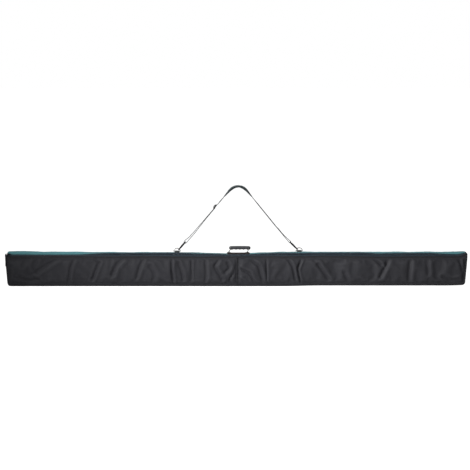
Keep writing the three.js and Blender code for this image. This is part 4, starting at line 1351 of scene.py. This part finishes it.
class SKIBAG_OT_zip_slider(bpy.types.Operator):
    """Builds the zip slider and its hanging moulded pull"""

    bl_idname = "ski_bag.zip_slider"
    bl_label = "Zip Slider"

    def execute(self, context):
        softened("zip_slider", "zip_slider_casting", gunmetal(), "zip_slider", "dark_metal", 0.3)
        softened("zip_pull_neck", "zip_pull_eye", grip_plastic(), "zip_pull", "pull_rubber", 0.3)
        low, high = [np.array(c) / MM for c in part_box("zip_pull_tip")]
        middle = (low + high) / 2
        z = np.linspace(high[2], low[2], 22)
        t = np.linspace(0, 1, 22)
        nose = np.sqrt(np.clip(1 - np.maximum(0, (t - 0.86) / 0.14) ** 2, 0.02, 1))
        ribs = (np.sin(t * 2 * math.pi * 4.5) > 0.3) * (t > 0.25) * (t < 0.8)
        radius = PULL_R * np.minimum(1, 0.62 + 1.6 * t) * nose * (1 - 0.08 * ribs)
        line = np.stack([np.full(22, middle[0]), np.full(22, middle[1]), z], 1)
        rings = sweep(line, round_profile(1, 0.82, 18), Y, sizes=radius)
        tip = skin("zip_pull_moulding", rings, materials=[grip_plastic()])
        ready(tip, "zip_pull", "pull_rubber", "zip_pull_tip")
        return {"FINISHED"}


# ---- handle ----
def foot_height():
    """Height of the rings' lower bars."""
    return float(crown(0)) + GAP + BASE_LIFT + RING_WIRE + 0.5


def rounded_loop(half, height, radius, across, up, at):
    """A closed rounded rectangle standing on a point: across and up are its two directions."""
    corners = [(-half, 0), (half, 0), (half, height), (-half, height)]
    points = [at + across * a + up * b for a, b in corners]
    line = []
    for i, corner in enumerate(points):
        line += bend_arc(corner, points[i - 1], points[(i + 1) % 4], radius, 7)
    return resample(line, 0.9, closed=True)


class SKIBAG_OT_handle(bpy.types.Operator):
    """Builds the handle: leathercloth base, brackets, rivets, two wire rings and the moulded grip"""

    bl_idname = "ski_bag.handle"
    bl_label = "Handle"

    def execute(self, context):
        wire = nickel()
        self.base()
        foot = foot_height()
        up = unit([RING_LEAN, 0, RING_RISE])
        length = math.hypot(RING_LEAN, RING_RISE)
        for x, name in zip(RING_FOOT, ("left", "right")):
            softened(
                f"handle_bracket_{name}", f"handle_strap_plate_{name}", wire, "spine", "wire_steel", 0.25
            )
            line = rounded_loop(RING_HALF, length, RING_CORNER, Y, up, in_plane(x, foot))
            rings = sweep(line, round_profile(RING_WIRE, sides=14), np.cross(Y, up), closed=True)
            ring = skin(f"handle_wire_{name}", rings, closed=True, materials=[wire])
            ready(ring, f"handle_ring_{name}", "wire_steel", f"handle_ring_{name}")
        seat = float(crown(0)) + GAP + BASE_LIFT + GAP + BRACKET_THICK
        places = [[in_plane(x + d, seat)] for x in RING_FOOT for d in (-RIVET_FROM_BAR, RIVET_FROM_BAR)]
        heads = grown(
            "handle_rivet_heads", places, rivet_tree(),
            {"Head": RIVET_HEAD, "Dome": RIVET_DOME, "Material": wire},
        )
        ready(heads, "spine", "wire_steel", *[f"base_rivet_{k}" for k in range(1, 5)])
        self.grip()
        return {"FINISHED"}

    def base(self):
        """The patch under the handle, which laps down over the spine's front edge."""
        xs = np.linspace(BASE_X[0], BASE_X[1], 40)
        t = np.linspace(-1, 1, 33)
        x, s = np.meshgrid(xs, t, indexing="ij")
        squeeze = 1 - 0.16 * np.abs((2 * x - sum(BASE_X)) / (BASE_X[1] - BASE_X[0])) ** 8
        y = np.where(s < 0, s * LAP_FRONT, s * LAP_REAR) * squeeze
        z, _ = spine_height(x, np.maximum(y, -BEND_Y))
        z = np.where(y < -BEND_Y, z - (-BEND_Y - y) * 0.9, z)
        flat_top = float(crown(0)) + GAP + BASE_LIFT
        rise = mix(1.6, 0.0, smooth((np.abs(y) - 9) / 14))
        edge = np.minimum(np.minimum(x - BASE_X[0], BASE_X[1] - x), LAP_REAR * squeeze - np.abs(y) + 3)
        lip = 0.9 * smooth((edge - 0.2) / 2.2) - 0.35 * np.exp(-((edge - 4.0) / 1.0) ** 2)
        top = np.where(np.abs(y) < 9.5, np.minimum(flat_top, z + 3.2), z + 1.3 + rise + lip)
        outer = np.stack([x, y, np.minimum(top, flat_top)], -1)
        inner = np.stack([x, y, np.minimum(z + 0.35, outer[..., 2] - 0.5)], -1)
        cloths = [leathercloth(), leathercloth()]
        made = slab("handle_base_patch", outer, inner, np.stack([x, y], -1), cloths)
        ready(made, "spine", "base_leather", "handle_base")
        ring = [(i, 2) for i in range(3, 37)] + [(36, k) for k in range(3, 30)]
        ring += [(i, 30) for i in range(36, 2, -1)] + [(3, k) for k in range(29, 1, -1)]
        line = np.array([outer[i, k] for i, k in ring]) + Z * 0.3
        stitches("handle_base_stitching", [line], "spine", sewing_thread(), 13, "base_leather")

    def grip(self):
        """The moulded grip, with four finger dips below and the rings' bars through its ends."""
        x0, x1 = GRIP_ENDS
        eye = foot_height() + RING_RISE
        tip = np.array([0, 0.5, 1.4, 2.8, 4.6])
        xs = np.concatenate([x0 + tip, np.linspace(x0 + 7, x1 - 7, 72), x1 - tip[::-1]])
        from_end = np.minimum(xs - x0, x1 - xs)
        full = np.sqrt(np.clip(1 - (1 - np.clip(from_end / 8.0, 0, 1)) ** 2, 0.0009, 1))
        top = eye + 10.2 + 0.8 * np.sin(math.pi * (xs - x0) / (x1 - x0))
        span = (xs - (x0 + DIPS_FROM)) / (x1 - x0 - 2 * DIPS_FROM)
        dips = np.where((span > 0) & (span < 1), np.abs(np.sin(math.pi * FINGER_DIPS * span)) ** 0.8, 0)
        low = eye - 6.4 + 2.2 * dips
        middle = eye + 2.0
        angle = np.linspace(0, 2 * math.pi, 28, endpoint=False)
        c, s = np.cos(angle), np.sin(angle)
        rings = []
        for x, f, a, b in zip(xs, full, top, low):
            half = GRIP_HALF * (0.9 + 0.1 * f) * f
            y = half * np.sign(c) * np.abs(c) ** 0.72
            z = middle + np.where(s > 0, a - middle, b - middle) * f * np.abs(s) ** 0.8
            rings.append(np.stack([np.full_like(y, x), y, z], 1))
        made = skin("handle_grip_moulding", rings, materials=[grip_plastic()])
        for foot in RING_FOOT:
            bore_line = np.array([[foot + RING_LEAN, y, eye] for y in (-GRIP_HALF - 3, GRIP_HALF + 3)])
            bore = skin("bore", sweep(bore_line, round_profile(RING_WIRE + 0.4, sides=20), Z))
            cut = made.modifiers.new("bore", "BOOLEAN")
            cut.operation, cut.object, cut.solver = "DIFFERENCE", bore, "EXACT"
            depsgraph = bpy.context.evaluated_depsgraph_get()
            shape = bpy.data.meshes.new_from_object(made.evaluated_get(depsgraph), depsgraph=depsgraph)
            made.modifiers.clear()
            made.data = shape
            bpy.data.objects.remove(bore)
        made.data.set_sharp_from_angle(angle=math.radians(50))
        ready(made, "handle_grip", "grip_plastic", "handle_grip")


# ---- D-rings and snap hooks ----
def dee_at(x, target):
    """Where a strap's pull meets a D-ring: the ring's foot, the point it pulls on, and the way it pulls."""
    foot = in_plane(x, float(crown(x)) + DEE["lift"])
    hook, pull = foot, unit(in_plane(*target) - foot)
    for _ in range(8):
        t = math.atan2(DEE["b"] * pull[2], DEE["a"] * pull[0])
        hook = foot + in_plane(DEE["a"] * math.cos(t), DEE["b"] * math.sin(t))
        pull = unit(in_plane(*target) - hook)
    return foot, hook, pull


LEFT = dee_at(DEE_X[0], PAD_LEFT)
RIGHT = dee_at(DEE_X[1], SEWN_END)
ENDS = (("left", LEFT), ("right", RIGHT))


def along(end, s, n=0.0):
    """A point up a strap end's pull line, set off to its outer side by n."""
    _, hook, pull = end
    return hook + pull * s + np.array([-pull[2], 0, pull[0]]) * n


def crossed_box(half, far, near):
    """The lines of a sewn box with a cross in it."""
    box = [(-half, far), (half, far), (half, near), (-half, near), (-half, far)]
    return box, [(-half, near), (half, far)], [(-half, far), (half, near)]


def hook_place(end, points):
    """Points drawn in a hook's own directions, width and length, put where the hook is."""
    _, hook, pull = end
    p = np.asarray(points, float)
    return hook + p[:, :1] * Y + p[:, 1:2] * np.cross(pull, Y) + p[:, 2:] * pull


class SKIBAG_OT_d_rings(bpy.types.Operator):
    """Builds the two D-rings and the webbing tabs that hold them to the spine"""

    bl_idname = "ski_bag.d_rings"
    bl_label = "D-rings"

    def execute(self, context):
        for name, (foot, _, _) in ENDS:
            t = np.linspace(0, math.pi, 25)
            arc = [foot + in_plane(DEE["a"] * math.cos(a), DEE["b"] * math.sin(a)) for a in t]
            arc += [mix(arc[-1], arc[0], k) for k in np.linspace(0.06, 0.94, 12)]
            line = resample(chaikin(arc, 2, closed=True), 0.9, closed=True)
            rings = sweep(line, round_profile(DEE["wire"] - 0.25, sides=14), Y, closed=True)
            ring = skin(f"d_ring_wire_{name}", rings, closed=True, materials=[nickel()])
            ready(ring, f"d_ring_{name}", "wire_steel", f"d_ring_{name}")
            self.tab(name, foot)
        return {"FINISHED"}

    def tab(self, name, foot):
        """A tab of webbing folded over the ring's straight bar and sewn down on both sides of it."""
        inner = DEE["wire"] + 0.35 + WEB_THICK / 2

        def surface(y):
            return float(spine_height(np.array(foot[0]), np.array(y))[0]) + GAP + WEB_THICK / 2

        legs = np.linspace(TAB_LEG, inner + 1.2, 7)
        points = [np.array([foot[0], -y, surface(-y)]) for y in legs]
        turn = np.linspace(0.1, math.pi - 0.1, 15)
        points += [foot + np.array([0, -inner * math.cos(a), inner * math.sin(a)]) for a in turn]
        points += [np.array([foot[0], y, surface(y)]) for y in legs[::-1]]
        line = resample(chaikin(points, 2), 0.9)
        width = 2 * (DEE["a"] - DEE["wire"] - 2)
        rings = sweep(line, flat_profile(width, WEB_THICK), X)
        made = skin(f"d_ring_tab_webbing_{name}", rings, materials=[webbing_cloth()])
        ready(made, "spine", "webbing", f"d_ring_tab_{name}")
        half = width / 2 - 2.5
        rows = []
        for sign in (-1, 1):
            for path in crossed_box(half, *TAB_SEWN):
                lift = WEB_THICK / 2 + 0.2
                flat = [np.array([foot[0] + a, sign * b, surface(sign * b) + lift]) for a, b in path]
                rows.append(resample(flat, 2))
        stitches(f"d_ring_tab_stitching_{name}", rows, "spine", sewing_thread(), 17, "webbing")


class SKIBAG_OT_snap_hooks(bpy.types.Operator):
    """Builds the two swivelling snap hooks with their sprung gates and webbing loops"""

    bl_idname = "ski_bag.snap_hooks"
    bl_label = "Snap Hooks"

    def execute(self, context):
        cast = gunmetal()
        for name, end in ENDS:
            thick = (end, HOOK_SWELL)
            self.hook(name, end, cast, thick)
            gate, body = f"hook_gate_{name}", f"snap_hook_{name}"
            softened(gate, f"snap_hook_gate_{name}", cast, gate, "dark_metal", 0.3, 2, thick)
            softened(f"gate_pin_{name}", f"snap_hook_pin_{name}", nickel(), body, "wire_steel", 0.2)
            self.loop(name, end, cast)
        return {"FINISHED"}

    def hook(self, name, end, cast, thick):
        """The cast hook: an oval bar round the bowl, thickest at the crown, and a turned swivel post."""
        body = f"snap_hook_{name}"
        softened(body, f"snap_hook_body_{name}", cast, body, "dark_metal", 1.1, 3, thick)
        z = np.array([24.0, 25.4, 26.2, 27.6, 28.4, 29.0, 29.0, 28.9])
        r = np.array([2.9, 3.7, 4.3, 4.3, 3.9, 3.2, 2.0, 0.2])
        line = hook_place(end, np.stack([0 * z, 0 * z, z], 1))
        rings = sweep(line + 1e-6, round_profile(1, sides=22), Y, sizes=r)
        ready(skin(f"snap_hook_collar_{name}", rings, materials=[cast]), body, "dark_metal")

    def loop(self, name, end, cast):
        """The flat ring that the webbing turns round, with the boss that the hook's post turns in."""
        corners = [(-14.9, 0, 31.8), (14.9, 0, 31.8), (14.9, 0, 43.2), (-14.9, 0, 43.2)]
        points = list(hook_place(end, corners))
        line = []
        for i, corner in enumerate(points):
            line += bend_arc(corner, points[i - 1], points[(i + 1) % 4], 3.2, 7)
        line = resample(line, 0.9, closed=True)
        out = np.cross(end[2], Y)
        rings = sweep(line, round_profile(2.1, 1.55, 16), out, closed=True)
        frame_bar = skin(f"swivel_loop_frame_{name}", rings, closed=True, materials=[cast])
        boss_z = np.array([29.5, 29.6, 30.2, 33.2, 33.8, 33.9])
        boss_r = np.array([1.95, 3.6, 4.1, 4.1, 3.6, 1.95])
        post = hook_place(end, np.stack([0 * boss_z, 0 * boss_z, boss_z], 1))
        rings = sweep(post, round_profile(1, sides=24), Y, sizes=boss_r)
        boss = skin(f"swivel_boss_{name}", rings, materials=[cast])
        ready(frame_bar, "strap", "dark_metal", f"swivel_loop_{name}")
        ready(boss, "strap", "dark_metal")


# ---- strap ----
def shoulder_arc(n=24):
    """Points over the arch of the shoulder pad."""
    a, b, c = (in_plane(*p) for p in (PAD_LEFT, PAD_PEAK, PAD_RIGHT))
    return [(1 - t) ** 2 * a + 2 * t * (1 - t) * b + t * t * c for t in np.linspace(0, 1, n)]


def turn_round_bar(end, radius):
    """Points where the webbing turns round a swivel loop's bar."""
    turn = np.linspace(0, math.pi, 15)
    return [along(end, LOOP_BAR - radius * math.sin(a), radius * math.cos(a)) for a in turn]


def twist_at(line):
    """How far the webbing turns about its own run, in radians: only where it hangs free."""
    x, z = line[:, 0], line[:, 2]
    # On the right it turns between the hook and the pad, on the left between the slider and the pad.
    right = smooth((z - 245) / 40) * smooth((405 - z) / 40) * (x > 20)
    left = smooth((z - 366) / 22) * smooth((408 - z) / 22) * (x < 0)
    return WEB_TWIST * (right + left)


def ribbed(name, points, width=WEB_WIDTH, rib=0.05):
    """Webbing along a line, with its cross ribs raised on it."""
    line = resample(chaikin(points, 2), WEB_STEP)
    run = np.arange(len(line)) * WEB_STEP
    turn = twist_at(line)
    rings = sweep(line, flat_profile(width, WEB_THICK + 0.3), Y)
    side = unit(np.cross(unit(np.gradient(line, axis=0)), Y))
    rings = rings + side[:, None] * (np.tan(turn)[:, None] * ((rings - line[:, None]) @ Y))[..., None]
    centre = line[:, None]
    swell = 1 + rib * np.sin(2 * math.pi * run / RIB_PITCH)
    lift = rings - centre
    thick = lift - (lift @ Y)[..., None] * Y
    rings = centre + (lift - thick) + thick * swell[:, None, None]
    return skin(name, rings, materials=[webbing_cloth()])


class SKIBAG_OT_strap(bpy.types.Operator):
    """Builds the strap's webbing, its adjuster loop, the strap slider and the sewn ends"""

    bl_idname = "ski_bag.strap"
    bl_label = "Strap"

    def execute(self, context):
        run = unit(in_plane(*SEWN_END) - in_plane(*PAD_RIGHT))
        off = np.array([run[2], 0, -run[0]]) * LAYER
        back = in_plane(*SEWN_END) - off
        points = [along(LEFT, LOOP_BAR + SEWN_LOOP, 1.3), along(LEFT, LOOP_BAR + 58)]
        points += [*shoulder_arc(), in_plane(*SEWN_END)]
        points += [*turn_round_bar(RIGHT, 4), back, back - run * 42]
        made = ribbed("strap_webbing_long", points)
        ready(made, "strap", "webbing", "strap_webbing")
        points = [along(LEFT, LOOP_BAR + SEWN_LOOP - GAP, 1.4), along(LEFT, LOOP_BAR + 12, 4.5)]
        points += turn_round_bar(LEFT, 6)
        points += [along(LEFT, LOOP_BAR + 60, -6.5), along(LEFT, LOOP_BAR + 130, -LAYER - 0.8)]
        points += [along(LEFT, SLIDER_S - 30, -LAYER - 0.2), along(LEFT, SLIDER_S - 3, -LAYER)]
        loop = ribbed("strap_webbing_loop", points)
        start, end = along(LEFT, LOOP_BAR + 8) * MM, along(LEFT, SLIDER_S - 14) * MM
        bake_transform(loop, "strap", "strap_slider", start=start.tolist(), end=end.tolist())
        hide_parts("strap_adjuster_loop")
        softened("strap_slider", "strap_slider_frame", gunmetal(), "strap_slider", "dark_metal", 0.6, 3)
        turn = np.linspace(-0.15, math.pi + 0.15, 17)
        arc = [along(LEFT, SLIDER_S + 8.5 * math.cos(a), 1.6 + 6.2 * math.sin(a)) for a in turn]
        fold = ribbed("strap_slider_webbing", arc, WEB_WIDTH - 0.4)
        ready(fold, "strap_slider", "webbing", "slider_fold")
        rows = []
        half = WEB_WIDTH / 2 - 2.5
        lift = -off / np.linalg.norm(off) * (LAYER + WEB_THICK / 2 + 0.3)
        box, one, other = crossed_box(half, *STRAP_SEWN)
        for path in (box, other, one):
            rows.append(resample([in_plane(*SEWN_END) - run * b + Y * a + lift for a, b in path], 2))
        stitches("strap_box_stitching", rows, "strap", sewing_thread(), 19, "webbing")
        return {"FINISHED"}


class SKIBAG_OT_shoulder_pad(bpy.types.Operator):
    """Builds the shoulder pad: stuffed by a cloth simulation, then bound round its edge"""

    bl_idname = "ski_bag.shoulder_pad"
    bl_label = "Shoulder Pad"

    def execute(self, context):
        run = unit(in_plane(*SEWN_END) - in_plane(*PAD_RIGHT))
        lead, tail = in_plane(*PAD_LEFT) - LEFT[2] * PAD_END_RUN, in_plane(*PAD_RIGHT) + run * PAD_END_RUN
        line = resample(chaikin([lead, *shoulder_arc(40), tail], 1), 2.5)
        t = np.linspace(0, 1, len(line))
        from_end = np.minimum(t, 1 - t) * 2.5 * len(line)
        width = PAD_WIDTH / 2 * (0.72 + 0.28 * smooth(from_end / 26))
        thick = (PAD_HALF_THICK - 1.0) * (0.3 + 0.7 * smooth((from_end - 6) / 52))
        angle = np.linspace(0, 2 * math.pi, 40, endpoint=False)
        c, s = np.cos(angle), np.sin(angle)
        rings = []
        tangent = unit(np.gradient(line, axis=0))
        side = np.cross(tangent, Y)
        for p, n, w, h in zip(line, side, width, thick):
            across = w * np.sign(c) * np.abs(c) ** 0.55
            out = h * np.sign(s) * np.abs(s) ** 0.6
            rings.append(p + across[:, None] * Y + out[:, None] * n)
        core = skin("shoulder_pad_cushion", rings, materials=[pad_cloth()])
        self.stuff(core)
        ready(core, "strap", "pad_cloth", "shoulder_pad_outer", "shoulder_pad_inner")
        self.edge(core, line, side, width)
        return {"FINISHED"}

    def stuff(self, piece):
        """Swells the pad's cloth by pressure, held back to a few millimetres."""
        mesh = piece.data
        remesh = piece.modifiers.new("even", "REMESH")
        remesh.mode, remesh.voxel_size = "VOXEL", 0.0034
        depsgraph = bpy.context.evaluated_depsgraph_get()
        even = bpy.data.meshes.new_from_object(piece.evaluated_get(depsgraph), depsgraph=depsgraph)
        piece.modifiers.clear()
        piece.data = even
        bpy.data.meshes.remove(mesh)
        before = np.empty(len(even.vertices) * 3, np.float32)
        even.vertices.foreach_get("co", before)
        before = before.reshape(-1, 3).astype(float) / MM
        cloth = piece.modifiers.new("stuffing", "CLOTH")
        cs = cloth.settings
        cs.quality, cs.mass = 6, 0.3
        cs.tension_stiffness = cs.compression_stiffness = 18
        cs.bending_stiffness = 0.4
        cs.use_pressure, cs.uniform_pressure_force = True, 4
        cs.effector_weights.gravity = 0
        cloth.collision_settings.use_collision = False
        cloth.point_cache.frame_start, cloth.point_cache.frame_end = 1, 20
        for f in range(1, 21):
            bpy.context.scene.frame_set(f)
        done = piece.evaluated_get(bpy.context.evaluated_depsgraph_get())
        after = np.empty(before.size, np.float32)
        done.data.vertices.foreach_get("co", after)
        piece.modifiers.remove(cloth)
        bpy.context.scene.frame_set(1)
        move = after.reshape(-1, 3).astype(float) / MM - before
        size = np.linalg.norm(move, axis=1, keepdims=True)
        move *= np.minimum(1, 1.1 / np.maximum(size, 1e-6))
        even.vertices.foreach_set("co", ((before + move) * MM).astype(np.float32).ravel())
        even.polygons.foreach_set("use_smooth", [True] * len(even.polygons))
        if not even.materials:
            even.materials.append(pad_cloth())
        layer = even.uv_layers.new(name="pattern")
        spots = np.array([even.vertices[l.vertex_index].co for l in even.loops])
        uv = np.stack([spots[:, 0] + 0.6 * spots[:, 2], spots[:, 1]], 1)
        layer.data.foreach_set("uv", uv.astype(np.float32).ravel())
        piece.modifiers.new("fine", "SUBSURF").levels = 1
        piece.modifiers["fine"].render_levels = 1

    def edge(self, core, line, side, width):
        """The binding round the pad's edge, laid on its surface."""
        inside = slice(3, -3)
        left = line + Y * width[:, None]
        right = line - Y * width[:, None]
        loop = np.vstack([left[inside], right[inside][::-1]])
        loop = resample(chaikin(loop, 2, closed=True), 2, closed=True)
        tree = BVHTree.FromObject(core, bpy.context.evaluated_depsgraph_get())
        loop = np.array([np.array(tree.find_nearest(Vector(p * MM))[0]) / MM for p in loop])
        loop = blur(np.vstack([loop[-6:], loop, loop[:6]]), 3, 0)[6:-6]
        near = [int(np.argmin(np.linalg.norm(line - p * [1, 0, 1], axis=1))) for p in loop]
        tangent = unit(np.roll(loop, -1, 0) - np.roll(loop, 1, 0))
        n = side[near]
        other = unit(np.cross(tangent, n))
        shape = round_profile(1.5, 1.1, 10)
        rings = loop[:, None] + n[:, None] * shape[None, :, :1] + other[:, None] * shape[None, :, 1:]
        ready(
            skin("shoulder_pad_binding", rings, closed=True, materials=[binding_cloth()]), "strap", "piping"
        )


# ---- stage ----
class SKIBAG_OT_stage(bpy.types.Operator):
    """Sets the pale floor, the soft studio lights and the camera"""

    bl_idname = "ski_bag.stage"
    bl_label = "Stage"

    def execute(self, context):
        scene = context.scene
        self.floor()
        # Each softbox: where it stands, what it faces, its size in metres, its watts and spread in degrees.
        self.light("key_softbox", (-1.9, -1.7, 1.3), (0.8, 0, 0.05), (0.4, 0.4), 11.5, 64)
        self.light("fill_softbox", (0.7, -2.2, 1.2), (0.25, 0, 0.08), (1.0, 0.8), 3.0, 100)
        self.light("top_softbox", (-0.4, 0.25, 1.7), (-0.4, 0, 0.1), (2.0, 0.6), 7.5, 160)
        world = bpy.data.worlds.new("studio")
        world.use_nodes = True
        tree = world.node_tree
        tree.nodes.clear()
        seen = node(tree, "ShaderNodeLightPath").outputs["Is Camera Ray"]
        room = node(tree, "ShaderNodeBackground", {"Color": (0.96, 0.98, 1.0, 1), "Strength": 0.1})
        sweep_white = node(tree, "ShaderNodeBackground", {"Color": (1, 1, 1, 1), "Strength": 1.0})
        both = node(tree, "ShaderNodeMixShader", {0: seen, 1: room.outputs[0], 2: sweep_white.outputs[0]})
        node(tree, "ShaderNodeOutputWorld", {"Surface": both.outputs[0]})
        scene.world = world
        scene.view_settings.view_transform = "Standard"
        scene.view_settings.look = "None"
        self.camera(scene)
        return {"FINISHED"}

    def floor(self):
        reach = 40.0
        mesh = bpy.data.meshes.new("floor")
        corners = [(-reach, -reach, 0), (reach, -reach, 0), (reach, reach, 0), (-reach, reach, 0)]
        mesh.from_pydata(corners, [], [(0, 1, 2, 3)])
        floor = bpy.data.objects.new("floor", mesh)
        bpy.context.scene.collection.objects.link(floor)
        # A translucent white acrylic sweep lit from below: nearly shadowless.
        made, tree, shader = new_material("backlit_acrylic")
        seen = node(tree, "ShaderNodeLightPath").outputs["Is Camera Ray"]
        glow = output(tree, "ShaderNodeMath", {0: seen, 1: 0.92, 2: 0.08}, operation="MULTIPLY_ADD")
        tree.links.new(glow, shader.inputs["Emission Strength"])
        shade(
            shader, tree, linear("#c8c8c8"), Roughness=0.9, Specular_IOR_Level=0.1,
            Emission_Color=(1, 1, 1, 1),
        )
        mesh.materials.append(made)

    def light(self, name, at, to, size, power, spread):
        data = bpy.data.lights.new(name, "AREA")
        data.shape, data.size, data.size_y, data.energy = "RECTANGLE", *size, power
        data.spread = math.radians(spread)
        lamp = bpy.data.objects.new(name, data)
        lamp.location = at
        lamp.rotation_euler = (Vector(to) - Vector(at)).to_track_quat("-Z", "Y").to_euler()
        bpy.context.scene.collection.objects.link(lamp)

    def camera(self, scene):
        data = bpy.data.cameras.new("camera")
        # From far off and a little above; width is what the view takes in at the bag's front face.
        distance, tilt, width = 14.0, math.radians(4), 2.1319
        data.sensor_width = 36
        data.lens = data.sensor_width * (distance - 0.04) / width
        data.clip_end = 200
        cam = bpy.data.objects.new("camera", data)
        look = Vector((-0.0059, 0, 0.231))
        cam.location = look + Vector((0, -math.cos(tilt), math.sin(tilt))) * distance
        cam.rotation_euler = (math.pi / 2 - tilt, 0, 0)
        scene.collection.objects.link(cam)
        scene.camera = cam


STEPS = (
    SKIBAG_OT_stage, SKIBAG_OT_shell_panels, SKIBAG_OT_gussets, SKIBAG_OT_piping, SKIBAG_OT_zip,
    SKIBAG_OT_spine, SKIBAG_OT_zip_slider, SKIBAG_OT_handle, SKIBAG_OT_d_rings,
    SKIBAG_OT_snap_hooks, SKIBAG_OT_strap, SKIBAG_OT_shoulder_pad,
)


class SKIBAG_PT_panel(bpy.types.Panel):
    """The ski bag's steps, in the order that they are built, with its sizes and colours"""

    bl_idname = "SKIBAG_PT_panel"
    bl_label = "Ski Bag"
    bl_space_type = "VIEW_3D"
    bl_region_type = "UI"
    bl_category = "Ski Bag"

    def draw(self, context):
        column = self.layout.column()
        for group in (context.scene.ski_bag_sizes, context.scene.ski_bag_colours):
            for key in group.__annotations__:
                column.prop(group, key)
        for step in STEPS:
            column.operator(step.bl_idname)


CLASSES = (SkiBagColours, SkiBagSizes, *STEPS, SKIBAG_PT_panel)


def register():
    for cls in CLASSES:
        bpy.utils.register_class(cls)
    bpy.types.Scene.ski_bag_colours = bpy.props.PointerProperty(type=SkiBagColours)
    bpy.types.Scene.ski_bag_sizes = bpy.props.PointerProperty(type=SkiBagSizes)


def unregister():
    del bpy.types.Scene.ski_bag_sizes
    del bpy.types.Scene.ski_bag_colours
    for cls in reversed(CLASSES):
        bpy.utils.unregister_class(cls)


def main():
    register()
    for step in STEPS:
        area, name = step.bl_idname.split(".")
        getattr(getattr(bpy.ops, area), name)()


if __name__ == "__main__":
    main()
